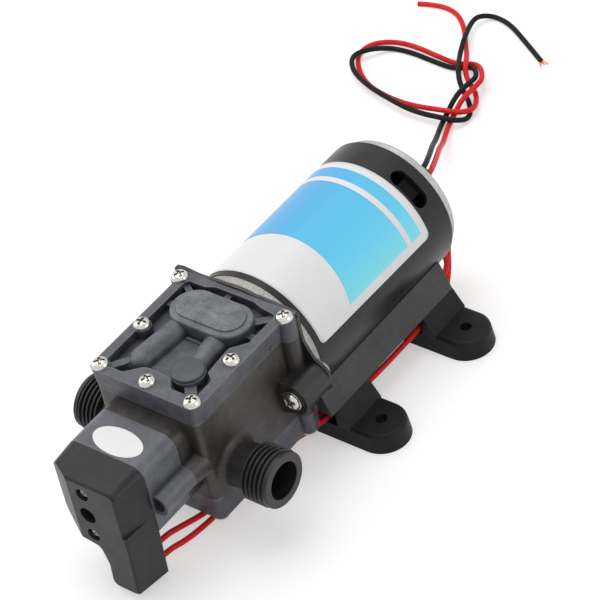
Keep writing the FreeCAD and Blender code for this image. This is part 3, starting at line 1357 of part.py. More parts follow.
def switch_cover():
    """Moulded cap of the pressure switch, with its tail, slanted facet and tapering side hollow."""
    edge_y = COVER_FRONT + COVER_EDGE
    shell = Part.makeLoft([
        cover_section(0, BASE_FRONT),
        cover_section(COVER_DRAFT, edge_y),
        cover_section(COVER_DRAFT + COVER_EDGE, COVER_FRONT),
    ], True, True)
    shell = shell.cut(behind_facet(0))
    wall = COVER_SHELL + COVER_DRAFT / 2
    inner_face = Part.Face(cover_section(wall, COVER_FRONT + COVER_SHELL))
    hollow = inner_face.extrude(V(0, BASE_FRONT - COVER_FRONT - COVER_SHELL, 0))
    hollow = hollow.cut(behind_facet(COVER_SHELL))
    tail_wall = block(-FAR, FAR, BASE_FRONT - TAIL_WALL, BASE_FRONT, -FAR, SWITCH_LOW - 0.1)
    hollow = hollow.cut(tail_wall)
    top = SWITCH_AXIS_Z
    taper = Part.makeLoft([side_hollow(COVER_FRONT, HOLLOW_DEPTH), side_hollow(BASE_FRONT, 0)], True, True)
    lining = block(SWITCH_HALF_X - HOLLOW_DEPTH - COVER_SHELL, SWITCH_HALF_X + 1, COVER_FRONT, BASE_FRONT,
                   HOLLOW_LOW - COVER_SHELL, HOLLOW_TOP + COVER_SHELL)
    hollow = hollow.cut(lining)
    whole = shell.cut(hollow)
    adjust_rear = COVER_FRONT + ADJUST_SINK + ADJUST_LEN
    seat = COVER_FRONT + SWITCH_SCREW_SINK + SWITCH_SCREW_HEAD_T
    tubes = [rod(ADJUST_TUBE_R, (0, COVER_FRONT + 1, top), (0, adjust_rear, top))]
    cuts = [taper,
            rod(ADJUST_HOLE_R, (0, COVER_FRONT - 1, top), (0, COVER_FRONT + ADJUST_SINK - 0.5, top)),
            rod(ADJUST_R + FIT, (0, COVER_FRONT, top), (0, adjust_rear + 1, top))]
    for z in (SWITCH_SCREW_UP, SWITCH_SCREW_DOWN):
        tubes.append(rod(POST_R, (0, COVER_FRONT + 1, top + z), (0, BASE_FRONT, top + z)))
        tubes.append(rod(POST_CUP_R, (0, COVER_FRONT + 1, top + z), (0, seat + 1.2, top + z)))
        cuts.append(rod(SWITCH_SCREW_HOLE_R, (0, COVER_FRONT - 1, top + z), (0, seat, top + z)))
        cuts.append(rod(SWITCH_SCREW_R + 0.15, (0, seat, top + z), (0, BASE_FRONT, top + z)))
    for route in (UPPER_WIRE_ROUTE, LOWER_WIRE_ROUTE):
        x, _, z = route[0]
        cuts.append(rod(WIRE_R + FIT, (x, BASE_FRONT - TAIL_WALL - 1, z), (x, BASE_FRONT + 1, z)))
    for tube_ in tubes:
        whole = whole.fuse(tube_)
    return cut(whole, cuts)


def switch_cover_screws():
    seat = COVER_FRONT + SWITCH_SCREW_SINK + SWITCH_SCREW_HEAD_T
    screws = [pan_screw((0, seat, SWITCH_AXIS_Z + z), SWITCH_SCREW_R, SWITCH_SCREW_HEAD_R,
                        SWITCH_SCREW_HEAD_T,
                        BASE_FRONT + 8.0 - seat, (0, 1, 0)) for z in (SWITCH_SCREW_UP, SWITCH_SCREW_DOWN)]
    return Part.makeCompound(screws)


ADJUST_FRONT = COVER_FRONT + ADJUST_SINK
ADJUST_REAR = ADJUST_FRONT + ADJUST_LEN
SEAT_REAR = ADJUST_REAR + SEAT_DISC_T


def adjusting_screw():
    """Headless screw with a hexagon socket, in the cover's middle tube."""
    screw = rod(ADJUST_R, (0, ADJUST_FRONT, SWITCH_AXIS_Z), (0, ADJUST_REAR, SWITCH_AXIS_Z))
    corners = []
    for i in range(6):
        turn = math.radians(60 * i)
        corners.append(V(ADJUST_HEX_R * math.cos(turn), ADJUST_FRONT,
                         SWITCH_AXIS_Z + ADJUST_HEX_R * math.sin(turn)))
    socket = Part.Face(Part.makePolygon(corners + corners[:1])).extrude(V(0, 2.4, 0))
    return screw.cut(socket)


def spring_seat():
    disc = rod(SEAT_DISC_R, (0, ADJUST_REAR, SWITCH_AXIS_Z), (0, SEAT_REAR, SWITCH_AXIS_Z))
    nose = rod(SEAT_NOSE_R, (0, SEAT_REAR, SWITCH_AXIS_Z), (0, SEAT_REAR + SEAT_NOSE_LEN, SWITCH_AXIS_Z))
    return fused([disc, nose])


PLUNGER_FRONT = PLUNGER_FACE - PLUNGER_T


def switch_spring():
    """Coil spring that holds the plunger against the pressure."""
    coil = rod(SWITCH_SPRING_R, (0, SEAT_REAR, SWITCH_AXIS_Z), (0, PLUNGER_FRONT, SWITCH_AXIS_Z))
    bore = rod(SWITCH_SPRING_R - SWITCH_SPRING_WIRE, (0, SEAT_REAR, SWITCH_AXIS_Z),
               (0, PLUNGER_FRONT, SWITCH_AXIS_Z))
    return coil.cut(bore)


MICRO_REAR = COVER_FRONT + COVER_SHELL + 0.3 + MICRO_T
BUTTON_TIP = MICRO_REAR + BUTTON_OUT


def pressure_plunger():
    """Plunger on the switch's diaphragm, with a bent arm that reaches the micro switch."""
    disc = rod(PLUNGER_R, (0, PLUNGER_FRONT, SWITCH_AXIS_Z), (0, PLUNGER_FACE - SEAT_GAP, SWITCH_AXIS_Z))
    stem = rod(PLUNGER_STEM_R, (0, PLUNGER_FRONT - PLUNGER_STEM_LEN, SWITCH_AXIS_Z),
               (0, PLUNGER_FRONT, SWITCH_AXIS_Z))
    x0 = ARM_X - ARM_HALF_X
    x1 = ARM_X + ARM_HALF_X
    foot_y = BUTTON_TIP + SEAT_GAP
    lug = block(POST_R + 1.0, x1, PLUNGER_FRONT - ARM_T, PLUNGER_FRONT, ARM_Z - ARM_T, SWITCH_AXIS_Z - 3.6)
    arm = block(x0, x1, foot_y, PLUNGER_FRONT, ARM_Z - ARM_T, ARM_Z)
    leg = block(x0, x1, foot_y, foot_y + ARM_T, BUTTON_Z - 2.0, ARM_Z)
    return fused([disc, stem, lug, arm, leg])


def micro_switch():
    """Snap-action switch in the cover's tail, with the pocket of its button."""
    front = MICRO_REAR - MICRO_T
    case = block(MICRO_X - MICRO_HALF_X, MICRO_X + MICRO_HALF_X, front, MICRO_REAR, MICRO_LOW, MICRO_TOP)
    pocket = rod(BUTTON_R + FIT, (ARM_X, MICRO_REAR - 2.2, BUTTON_Z), (ARM_X, MICRO_REAR, BUTTON_Z))
    return case.cut(pocket)


def switch_button():
    return rod(BUTTON_R, (ARM_X, MICRO_REAR - 1.4, BUTTON_Z), (ARM_X, BUTTON_TIP, BUTTON_Z))


def switch_terminals():
    """Two brass tabs on the micro switch's side, where the wires are soldered."""
    x = MICRO_X + MICRO_HALF_X
    tabs = []
    for route in (UPPER_WIRE_ROUTE, LOWER_WIRE_ROUTE):
        z = route[0][2]
        end_y = route[0][1]
        tabs.append(block(x, route[0][0] + 0.6, end_y - TAB_T, end_y, z - 0.9, z + 0.9))
    return Part.makeCompound(tabs)


def mounting_bracket():
    """Moulded saddle under the can, with stepped sides that the feet fit under."""
    half = [(CRADLE_TOP_X, CRADLE_TOP_Z), (CRADLE_EDGE_X, CRADLE_EDGE_Z), (CRADLE_STEP_X, CRADLE_EDGE_Z),
            (CRADLE_BELLY_X, CRADLE_BELLY_Z)]
    corners = [(x, z, 0) for x, z in half] + [(-x, z, 0) for x, z in reversed(half)]
    saddle = section(corners, CRADLE_FRONT, CRADLE_REAR)
    saddle = saddle.cut(rod(CAN_R + FIT, (0, CRADLE_FRONT - 1, 0), (0, CRADLE_REAR + 1, 0)))
    for y in (FOOT_Y, FOOT_Y + FOOT_PITCH):
        saddle = saddle.cut(rod(FOOT_SCREW_R + 0.2, (0, y, 0), (0, y, MOUNT_Z)))
    return saddle


def foot(centre):
    """Rubber cross foot: a tongue with a hole at each side and a block under the bracket."""
    half = FOOT_W / 2
    reach = FOOT_HOLE_X + half
    d = TONGUE_DRAFT
    levels = [(MOUNT_Z, d)]
    for step in range(4):
        turn = math.radians(30 * step)
        levels.append((TONGUE_TOP - TONGUE_ROUND * (1 - math.sin(turn)),
                       -TONGUE_ROUND * (1 - math.cos(turn))))
    rings = [outline(stadium(reach + grow, half + grow, centre), lambda p, z=z: V(p.x, p.y, z))
             for z, grow in levels]
    tongue = Part.makeLoft(rings, True, True)
    seat = CRADLE_BELLY_Z - FIT
    edge = CRADLE_EDGE_Z - FIT
    inner = CRADLE_BELLY_X
    profile = [(BLOCK_LOW_X, MOUNT_Z + 1, 0), (BLOCK_LOW_X, TONGUE_TOP, 0), (BLOCK_TOP_X, edge, 0),
               (CHANNEL_X, edge, 0),
               (CHANNEL_X, CHANNEL_FLOOR, 0), (inner, CHANNEL_FLOOR, 0), (inner, seat, 0)]
    profile += [(-x, z, 0) for x, z, _ in reversed(profile)]
    foot_block = section(profile, centre - half, centre + half)
    body = fused([tongue, foot_block])
    channel = block(inner, CHANNEL_X, centre - half - 2, centre + half + 2, CHANNEL_FLOOR, edge + 1)
    belly = block(-inner, inner, centre - half - 2, centre + half + 2, seat, edge + 1)
    cuts = sides(channel) + [belly]
    cuts += sides(rod(FOOT_HOLE_R, (FOOT_HOLE_X, centre, MOUNT_Z), (FOOT_HOLE_X, centre, TONGUE_TOP)))
    cuts.append(rod(FOOT_SCREW_R + 0.2, (0, centre, MOUNT_Z), (0, centre, seat)))
    cuts.append(rod(FOOT_SCREW_HEAD_R + 0.4, (0, centre, MOUNT_Z), (0, centre, MOUNT_Z + FOOT_SCREW_SINK)))
    return cut(body, cuts)


def foot_screws():
    seat = MOUNT_Z + FOOT_SCREW_SINK
    length = -CAN_BORE_R + 0.4 - seat
    screws = [pan_screw((0, y, seat), FOOT_SCREW_R, FOOT_SCREW_HEAD_R, FOOT_SCREW_HEAD_T, length, (0, 0, 1))
              for y in (FOOT_Y, FOOT_Y + FOOT_PITCH)]
    return Part.makeCompound(screws)


def lead_strands():
    """The bare strands at the black lead's cut end."""
    end = V(*BLACK_ROUTE[-1])
    along = (end - V(*BLACK_ROUTE[-2])).normalize()
    side = along.cross(EZ)
    strands = []
    for spread, lift in ((0.0, 0.15), (0.65, 0.0), (-0.65, -0.05)):
        start = end + along * STRAND_GAP + side * spread
        way = (along + side * spread * 0.5 + EZ * lift).normalize()
        strands.append(Part.makeCylinder(STRAND_R, STRAND_LEN, start, way))
    return Part.makeCompound(strands)


def write(name, shape):
    shape = shape.copy()
    shape.translate(PLACE)
    shape.exportStep(os.path.join("parts", name + ".step"))


def build():
    os.makedirs("parts", exist_ok=True)
    top_cover = cover()
    top_plate = valve_plate()
    top_screws = cover_screws()
    top_clamp = piston_clamp()
    top_piston_screw = piston_screw()
    inlet_seat = PART_Z + WEB_LOW
    outlet_seat = PART_Z + WEB_TOP
    top_inlet = valve(-VALVE_X, inlet_seat, -1)
    top_outlet = valve(VALVE_X, outlet_seat, 1)
    bearing_start = CAP_FRONT - 2.0
    black_end = (BLACK_ROUTE[0][0], BLACK_ROUTE[0][2])
    red_end = (RED_ROUTE[0][0], RED_ROUTE[0][2])
    wire_ends = [(WIRE_X - WIRE_SPLIT, WIRE_Z), (WIRE_X + WIRE_SPLIT, WIRE_Z)]
    nodes = {
        "motor_can": motor_can(),
        "motor_front_flange": motor_front_flange(),
        "motor_end_cap": motor_end_cap(),
        "magnets": magnets(),
        "front_bearing": shielded_bearing(FRONT_BEARING_R, SHAFT_R, 0, FRONT_BEARING_W),
        "rear_bearing": shielded_bearing(REAR_BEARING_R, SHAFT_R, bearing_start, REAR_BEARING_W),
        "brush_plate": brush_plate(),
        "upper_brush": brush(BRUSH_ANGLE),
        "lower_brush": brush(BRUSH_ANGLE + 180),
        "upper_brush_spring": brush_spring(BRUSH_ANGLE),
        "lower_brush_spring": brush_spring(BRUSH_ANGLE + 180),
        "motor_shaft": motor_shaft(),
        "armature_core": armature_core(),
        "armature_windings": armature_windings(),
        "commutator": commutator(),
        "eccentric": eccentric(),
        "rod_bearing": on_throw(rod_bearing()),
        "connecting_rod": on_throw(connecting_rod()),
        "piston_clamps": on_throw(Part.makeCompound([top_clamp, flipped(top_clamp)])),
        "piston_screws": on_throw(Part.makeCompound([top_piston_screw, flipped(top_piston_screw)])),
        "pump_body": pump_body(),
        "port_seals": port_seals(),
        "top_diaphragm": diaphragm(THROW),
        "bottom_diaphragm": flipped(diaphragm(-THROW)),
        "top_valve_plate": top_plate,
        "bottom_valve_plate": flipped(top_plate),
        "top_inlet_valve": top_inlet,
        "top_outlet_valve": top_outlet,
        "bottom_inlet_valve": flipped(top_inlet),
        "bottom_outlet_valve": flipped(top_outlet),
        "top_cover": top_cover,
        "bottom_cover": flipped(top_cover),
        "top_cover_screws": top_screws,
        "bottom_cover_screws": flipped(top_screws),
        "head_screws": head_screws(),
        "switch_base": switch_base(),
        "switch_base_screws": switch_base_screws(),
        "switch_diaphragm": switch_diaphragm(),
        "pressure_plunger": pressure_plunger(),
        "switch_spring": switch_spring(),
        "spring_seat": spring_seat(),
        "adjusting_screw": adjusting_screw(),
        "micro_switch": micro_switch(),
        "switch_button": switch_button(),
        "switch_terminals": switch_terminals(),
        "switch_cover": switch_cover(),
        "switch_cover_screws": switch_cover_screws(),
        "switch_wires": Part.makeCompound([tube("upper wire", UPPER_WIRE_ROUTE, WIRE_R),
                                           tube("lower wire", LOWER_WIRE_ROUTE, WIRE_R)]),
        "mounting_bracket": mounting_bracket(),
        "front_foot": foot(FOOT_Y),
        "rear_foot": foot(FOOT_Y + FOOT_PITCH),
        "foot_screws": foot_screws(),
        "lead_grommet": grommet(LEAD_X, LEAD_Z, GROMMET_R, [black_end, red_end]),
        "wire_grommet": grommet(WIRE_X, WIRE_Z, WIRE_GROMMET_R, wire_ends),
        "black_lead": tube("black lead", BLACK_ROUTE, WIRE_R),
        "red_lead": tube("red lead", RED_ROUTE, WIRE_R),
        "lead_strands": lead_strands(),
    }
    for name, shape in nodes.items():
        write(name, shape)
    print(len(nodes), "nodes")


build()
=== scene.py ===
import math

import bmesh
import bpy
import numpy as np
from mathutils import Matrix, Vector


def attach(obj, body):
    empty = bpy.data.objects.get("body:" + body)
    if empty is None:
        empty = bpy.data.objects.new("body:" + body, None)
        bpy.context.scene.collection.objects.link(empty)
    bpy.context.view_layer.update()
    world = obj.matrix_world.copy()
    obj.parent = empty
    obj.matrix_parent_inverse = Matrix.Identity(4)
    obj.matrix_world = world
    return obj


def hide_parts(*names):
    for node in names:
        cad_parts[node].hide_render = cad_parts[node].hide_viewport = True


# Looks of the diaphragm water pump. Points and sizes are in millimetres about the motor's axis,
# as in the part's source, and row() moves them into the row frame in metres.
MM = 1000.0
MOUNT_Z = -36.5
PLACE = Vector((0.0, -35.2, -MOUNT_Z))
CAN_R = 27.3

# Wires: their size in both units, where they enter the end cap, and the point between the leads there
WIRE_R = 1.05
WIRE_START = 82.4
LEAD_EXIT_Y = 86.6
LEAD_X = 12.4
LEAD_Z = 13.4
LEAD_SPLIT_X = 1.0
LEAD_SPLIT_Z = 1.1

# Heights of a lead's centre: on the floor, over one lead, over two
LOW = MOUNT_Z + WIRE_R
MID = LOW + 2.7
HIGH = LOW + 4.9

# Routes of the two leads: out of the end cap, down to the floor, and through the loose knot
BLACK_ROUTE = [
    (LEAD_X - LEAD_SPLIT_X, WIRE_START, LEAD_Z + LEAD_SPLIT_Z),
    (LEAD_X - LEAD_SPLIT_X, LEAD_EXIT_Y, LEAD_Z + LEAD_SPLIT_Z),
    (6.8, 95.5, 11.2),
    (-2.4, 108.5, 2.4),
    (-14.5, 123.5, -11.5),
    (-26.3, 139.2, -25.0),
    (-37.4, 155.3, LOW),
    (-40.1, 164.3, LOW),
    (-39.0, 169.7, HIGH),
    (-38.9, 177.8, HIGH),
    (-38.0, 182.9, HIGH),
    (-44.6, 190.1, MID),
    (-53.0, 188.1, LOW),
    (-63.5, 188.6, LOW),
    (-74.7, 189.7, LOW),
    (-84.7, 188.7, LOW),
    (-90.4, 181.4, MID),
    (-94.2, 174.8, MID),
    (-87.8, 167.0, MID),
    (-76.0, 161.8, MID),
    (-65.1, 159.2, MID),
    (-55.0, 157.1, MID),
    (-46.5, 156.9, MID),
    (-39.5, 157.9, MID),
    (-32.3, 158.7, MID),
    (-30.0, 164.7, LOW),
    (-33.9, 171.4, LOW),
    (-40.5, 176.9, LOW),
    (-44.5, 179.5, MID),
    (-48.4, 184.7, HIGH),
    (-54.1, 193.7, MID),
    (-56.4, 200.4, HIGH),
    (-61.5, 211.6, MID),
    (-62.2, 217.8, MID),
    (-58.6, 223.6, LOW),
    (-49.6, 222.0, LOW),
    (-38.5, 215.6, LOW),
    (-24.5, 207.0, LOW),
]
RED_ROUTE = [
    (LEAD_X + LEAD_SPLIT_X, WIRE_START, LEAD_Z - LEAD_SPLIT_Z),
    (LEAD_X + LEAD_SPLIT_X, LEAD_EXIT_Y, LEAD_Z - LEAD_SPLIT_Z),
    (9.4, 94.8, 9.4),
    (-0.6, 109.5, 0.0),
    (-12.7, 124.8, -13.4),
    (-24.1, 140.4, -27.0),
    (-34.7, 156.6, LOW),
    (-37.3, 165.4, LOW),
    (-35.7, 169.6, HIGH),
    (-35.2, 177.4, HIGH),
    (-35.3, 183.4, HIGH),
    (-43.9, 192.6, MID),
    (-53.4, 191.1, LOW),
    (-63.2, 192.0, LOW),
    (-75.6, 193.6, LOW),
    (-85.7, 192.8, LOW),
    (-93.5, 187.9, LOW),
    (-95.1, 179.8, LOW),
    (-88.6, 171.4, LOW),
    (-80.4, 165.6, LOW),
    (-72.1, 163.0, LOW),
    (-61.9, 161.7, LOW),
    (-50.4, 159.8, MID),
    (-41.7, 161.8, MID),
    (-33.5, 163.5, MID),
    (-29.2, 168.1, MID),
    (-35.7, 178.4, LOW),
    (-39.8, 180.1, MID),
    (-44.7, 184.2, MID),
    (-46.5, 187.2, HIGH),
    (-51.4, 195.0, MID),
    (-57.9, 202.8, LOW),
    (-64.8, 212.0, LOW),
    (-73.3, 219.2, LOW),
    (-83.7, 220.4, LOW),
    (-91.6, 217.4, LOW),
]

# Routes of the two switch wires: from the switch under the bracket to the end cap
WIRE_X = 13.5
WIRE_Z = -12.4
WIRE_SPLIT = 1.25
UPPER_WIRE = [
    (11.65, -86.5, -22.6),
    (11.65, -75.5, -22.6),
    (12.0, -67.0, -25.4),
    (12.6, -57.0, -28.8),
    (12.6, -46.0, -31.2),
    (12.8, -28.0, -31.4),
    (13.6, -14.0, -31.2),
    (19.4, -2.6, -29.0),
    (21.0, 9.0, -28.8),
    (23.4, 24.0, -28.6),
    (23.4, 58.0, -28.6),
    (20.2, 70.6, -28.7),
    (16.9, WIRE_START + 2.0, -28.6),
    (13.6, WIRE_START + 4.4, -24.5),
    (12.6, WIRE_START + 6.0, -19.0),
    (WIRE_X - WIRE_SPLIT, WIRE_START + 5.9, WIRE_Z - 2.0),
    (WIRE_X - WIRE_SPLIT, WIRE_START + 3.6, WIRE_Z),
    (WIRE_X - WIRE_SPLIT, WIRE_START, WIRE_Z),
]
LOWER_WIRE = [
    (11.65, -86.5, -29.0),
    (11.65, -75.5, -29.4),
    (13.2, -67.0, -31.4),
    (15.0, -57.0, -31.0),
    (15.2, -46.0, -31.6),
    (15.4, -28.0, -31.6),
    (16.4, -15.0, -31.2),
    (22.3, -3.8, -29.0),
    (24.2, 8.0, -28.8),
    (26.2, 24.0, -28.6),
    (26.2, 58.0, -28.6),
    (22.9, 71.2, -29.1),
    (21.6, 75.6, -31.1),
    (15.6, WIRE_START + 3.6, -30.9),
    (14.2, WIRE_START + 6.2, -25.5),
    (14.7, WIRE_START + 7.2, -19.5),
    (WIRE_X + WIRE_SPLIT, WIRE_START + 7.0, WIRE_Z - 2.2),
    (WIRE_X + WIRE_SPLIT, WIRE_START + 4.2, WIRE_Z),
    (WIRE_X + WIRE_SPLIT, WIRE_START, WIRE_Z),
]

# Screws: places of their seats, head radius and height, shank radius and length, as in the part's source
RIM_Z = 25.9
SCREW_R = 1.5
COVER_HEAD = (3.15, 2.2)
COVER_SCREW_PAIRS = [(22.6, -8.2), (19.3, -33.1), (19.8, -54.9)]
COVER_SCREW_FRONT = (0.0, -54.1)
COVER_SCREW_LEN = 14.0
LOBE = (27.4, -17.6, -2.2)
LOBE_HEAD = (3.2, 1.7)
LOBE_SCREW_LEN = 17.3
COLUMN = (17.6, -68.0, -1.2)
COLUMN_HEAD = (2.75, 2.2)
COLUMN_SCREW_LEN = 13.0
SWITCH_SCREW_Y = -91.95
SWITCH_SCREW_Z = (9.0, -9.9)
SWITCH_HEAD = (2.3, 1.2)
SWITCH_SCREW_R = 1.2
SWITCH_SCREW_LEN = 19.95
FOOT_SCREW_Y = (9.3, 61.1)
FOOT_SCREW_Z = -32.9
FOOT_HEAD = (3.6, 2.0)
FOOT_SCREW_R = 2.0
FOOT_SCREW_LEN = 7.6

# Washer of the ear screws: radius and thickness, and how far its corners are cut in
WASHER = (4.0, 0.7)
WASHER_TOP_CUT = (0.15, 0.12)
WASHER_LOW_CUT = (0.1, 0.1)

# Pan head with a cross recess, as shares of the head's radius or height
DOME_POWER = 3
DOME_FLAT = 0.55
CROSS_ARM = 0.62
CROSS_HALF = 0.16
CROSS_WALL = 0.05
CROSS_DEPTH = 0.62
CROSS_FALL = 0.75

# How far the first screw of a set is turned, and each one more, in radians
SCREW_TURN = 0.7
SCREW_TURN_STEP = 1.9

# Raised disc on the inlet boss, lump over the left duct, and stub where the cover was broken off its
# runner: place, and profile of radius and height from pole to pole
BOSS_DISC_AT = (9.3, -43.7, 26.0)
BOSS_DISC = [(0.0, 1.0), (4.6, 1.0), (5.3, 0.98), (5.65, 0.8), (5.8, 0.45), (5.85, -0.4), (0.0, -0.4)]
LUMP_AT = (-11.2, -46.4, 17.5)
LUMP = [(0.0, 8.9), (1.1, 8.7), (1.9, 8.2), (2.5, 7.3), (2.75, 6.2), (2.8, 4.6), (0.0, 4.6)]
GATE_AT = (22.45, -16.7, 19.2)
GATE_STUB = [(0.0, 0.15), (0.5, 0.1), (0.75, 0.35), (0.95, 0.2), (1.0, -0.3), (0.0, -0.3)]

# Top edge of the head's rear plate, which stands a little over the cover: x and height
PLATE_EDGE = [(-28.4, 24.9), (-27.4, 25.9), (-24.4, 26.4), (-16.8, 25.8), (-6.7, 26.6),
              (0.0, 26.9), (9.0, 26.3), (18.6, 26.0), (23.9, 25.4), (25.0, 24.6)]
PLATE_LOW = 23.6
PLATE_FRONT = -4.36
PLATE_BACK = -3.24

# Label: angles in degrees about the motor's axis from +x towards +z, and places along it
LABEL_RIGHT = 12.6
LABEL_SLANT = -2.4
LABEL_LEFT = 140.0
LABEL_FRONT = 2.4
LABEL_REAR = 65.9
LABEL_CORNER = 2.2
PRINT_RIGHT = 19.4
PRINT_SLANT = -1.0
PRINT_LEFT = 133.0
ARCH_MID = 76.0
ARCH_TOP = 24.7
ARCH_FALL = 0.00125
PANEL_REAR = 54.7
BAND_RIGHT = 17.8
BAND_SLANT = -0.2
BAND_FRONT = 57.2
BAND_REAR = 62.6
PAPER_LIFT = 0.13
INK_LIFT = 0.15
PAPER_WALL = 0.03

# Bare oval sticker on top of the switch base: middle, half sizes, turn and thickness
OVAL = (0.66, -73.71)
OVAL_SIZE = (10.4, 5.6)
OVAL_TILT = math.radians(-4.0)
OVAL_WALL = 0.1
SWITCH_TOP = 15.8

# Finishes: the part of a noise's or an occlusion's range that is spread from 0 to 1
NOISE_RANGE = (0.34, 0.66)
WEAR_RANGE = (0.12, 0.42)
HOLLOW_RANGE = (0.10, 0.70)
SHADE_SAMPLES = 4

# Moulded pieces: wear that noise doesn't break up, share of the painted shade's tone in a hollow and of the
# painted shade's tone on the head's sides, how much rougher and smoother they get in patches, and the
# patches' scale against the blotches'
WEAR_EVEN = 0.15
HOLLOW_SHADE_SHARE = 0.85
SIDE_SHADE_SHARE = 0.85
ROUGHER = 0.08
SMOOTHER = -0.06
GLOSS_CELLS = 2.3
BUMP = 0.5

# Grime on metal: scale of its film against the cells', the film's share, and the reach and amount of its
# darkening in corners, which is grime and painted shade
GRIME_CELLS = 0.35
GRIME_FILM = 0.2
CORNER_GRIME_AND_SHADE_REACH = 0.0010
CORNER_GRIME_AND_SHADE_AMOUNT = 1.3

# Label and sticker paper: how much of the tone its blotches keep, and the shine of paper and ink
PAPER_BLOTCH = 0.97
PAPER_SHINE = 0.35

# Printed blue: share of a half turn about the can, and colour there
INK_STOPS = [(0.10, (0.270, 0.880, 1.000)), (0.25, (0.165, 0.700, 0.960)),
             (0.45, (0.105, 0.540, 0.880)), (0.75, (0.105, 0.390, 0.760))]
INK_SPECKLE = 0.015

# Camera: lens, sensor and place in millimetres, the place in the row frame; turn to the left of +y,
# dip and roll in degrees; nearest and farthest that it sees, in metres
LENS = 177.36
SENSOR = 36.0
CAMERA_AT = (551.46, -557.97, 715.31)
CAMERA_TURN = 45.281
CAMERA_DIP = 41.236
CAMERA_ROLL = -12.648
CLIP_NEAR = 0.05
CLIP_FAR = 20.0

# Floor: half its width in metres, its tone, and the glow that only the camera and reflections see
FLOOR_HALF = 3.0
FLOOR_TONE = 0.76
FLOOR_GLOW = 0.42

# Light: strength of the world's, and place, width and power of each lamp, in metres and watts
AMBIENT = 0.45
LIGHT_AIM = (0.0, -0.02, 0.03)
LIGHTS = {
    "top_softbox": ((-0.25, 0.10, 1.1), 0.9, 5.5),
    "left_softbox": ((-0.9, -0.35, 0.55), 0.6, 2.6),
    "right_softbox": ((0.95, 0.15, 0.45), 0.5, 2.0),
}


def row(point):
    """A point of the motor's frame in millimetres, as a point of the row frame in metres."""
    return (Vector(point) + PLACE) / MM


def link(obj):
    """Puts an object into the scene, and gives it back."""
    bpy.context.scene.collection.objects.link(obj)
    return obj


def skin(name, points, faces, mat, sharp=40.0):
    """Mesh piece from an array of points in the motor's frame and a list of faces. Its normals are
    turned out, and edges over sharp degrees stay sharp."""
    mesh = bpy.data.meshes.new(name)
    mesh.from_pydata(((points + np.array(PLACE)) / MM).tolist(), [], faces)
    work = bmesh.new()
    work.from_mesh(mesh)
    bmesh.ops.recalc_face_normals(work, faces=work.faces)
    work.to_mesh(mesh)
    work.free()
    mesh.shade_smooth()
    mesh.set_sharp_from_angle(angle=math.radians(sharp))
    mesh.materials.append(mat)
    return link(bpy.data.objects.new(name, mesh))


def grid_faces(rows, columns):
    """Quads between neighbouring rows of an open grid of points."""
    corner = np.arange(rows - 1)[:, None] * columns + np.arange(columns - 1)[None, :]
    quads = np.stack([corner, corner + 1, corner + columns + 1, corner + columns], axis=-1)
    return quads.reshape(-1, 4).tolist()


def pole_faces(rings, sides, start=0):
    """Faces of a closed skin: a pole, then rings of points, then the other pole."""
    side = np.arange(sides)
    after = (side + 1) % sides
    last = start + 1 + rings * sides
    cap = np.stack([np.full(sides, start), start + 1 + side, start + 1 + after], axis=-1)
    end = np.stack([last - sides + after, last - sides + side, np.full(sides, last)], axis=-1)
    ring = start + 1 + np.arange(rings - 1)[:, None] * sides
    quads = np.stack([ring + side, ring + after, ring + sides + after, ring + sides + side], axis=-1)
    return cap.tolist() + quads.reshape(-1, 4).tolist() + end.tolist()


def circles(profile, sides):
    """Rings of points about +z, one for each radius and height of a profile."""
    turn = np.linspace(0.0, 2 * np.pi, sides, endpoint=False)
    rings = [np.stack([r * np.cos(turn), r * np.sin(turn), np.full(sides, h)], axis=-1) for r, h in profile]
    return np.stack(rings)


def towards(out):
    """Turn that takes +z to out."""
    return Vector((0.0, 0.0, 1.0)).rotation_difference(Vector(out)).to_matrix()


def screw_points(head, shank, length, washer=None):
    """Cross-recessed pan screw about +z, seat at 0. Over the head the height is a flattened dome,
    t (1 - q^3)^0.55 at q = r / R, less a cross of two bars that gets shallower outwards;
    the rings then go down the rim, in under the head, down the shank and in to its point."""
    radius, height = head
    lift = washer[1] if washer else 0.0
    sides = 96
    turn = np.linspace(0.0, 2 * np.pi, sides, endpoint=False)
    share = np.linspace(0.0, 1.0, 30)[1:-1, None]
    x = radius * share * np.cos(turn)
    y = radius * share * np.sin(turn)
    arm, half = CROSS_ARM * radius, CROSS_HALF * radius
    bar_x = np.maximum(np.abs(x) - arm, np.abs(y) - half)
    bar_y = np.maximum(np.abs(x) - half, np.abs(y) - arm)
    inside = np.clip(-np.minimum(bar_x, bar_y) / (CROSS_WALL * radius), 0.0, 1.0)
    depth = CROSS_DEPTH * height * inside * (1.0 - CROSS_FALL * share)
    z = lift + height * (1.0 - share ** DOME_POWER) ** DOME_FLAT - depth
    head_rings = np.stack([x, y, z], axis=-1)
    profile = [(radius, lift)]
    if washer:
        wide = washer[0]
        profile += [(wide - WASHER_TOP_CUT[0], lift), (wide, lift - WASHER_TOP_CUT[1])]
        profile += [(wide, WASHER_LOW_CUT[1]), (wide - WASHER_LOW_CUT[0], 0.0)]
    profile += [(shank, 0.0), (shank, -length + shank), (shank * 0.5, -length)]
    rings = np.concatenate([head_rings, circles(profile, sides)])
    pole = [[0.0, 0.0, lift + height * (1.0 - CROSS_DEPTH)]]
    points = np.concatenate([pole, rings.reshape(-1, 3), [[0.0, 0.0, -length]]])
    return points, len(rings), sides


def screws(name, node, places, out, head, shank, length, mat, washer=None):
    """One piece of equal screws, their heads facing out, each turned by its own odd angle."""
    points, rings, sides = screw_points(head, shank, length, washer)
    aim = towards(out)
    every, faces = [], []
    for i, place in enumerate(places):
        turn = np.array(aim @ Matrix.Rotation(SCREW_TURN + SCREW_TURN_STEP * i, 3, "Z"))
        every.append(points @ turn.T + np.array(place))
        faces += pole_faces(rings, sides, i * len(points))
    piece = skin(name, np.concatenate(every), faces, mat, 50.0)
    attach(piece, "pump")
    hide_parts(node)


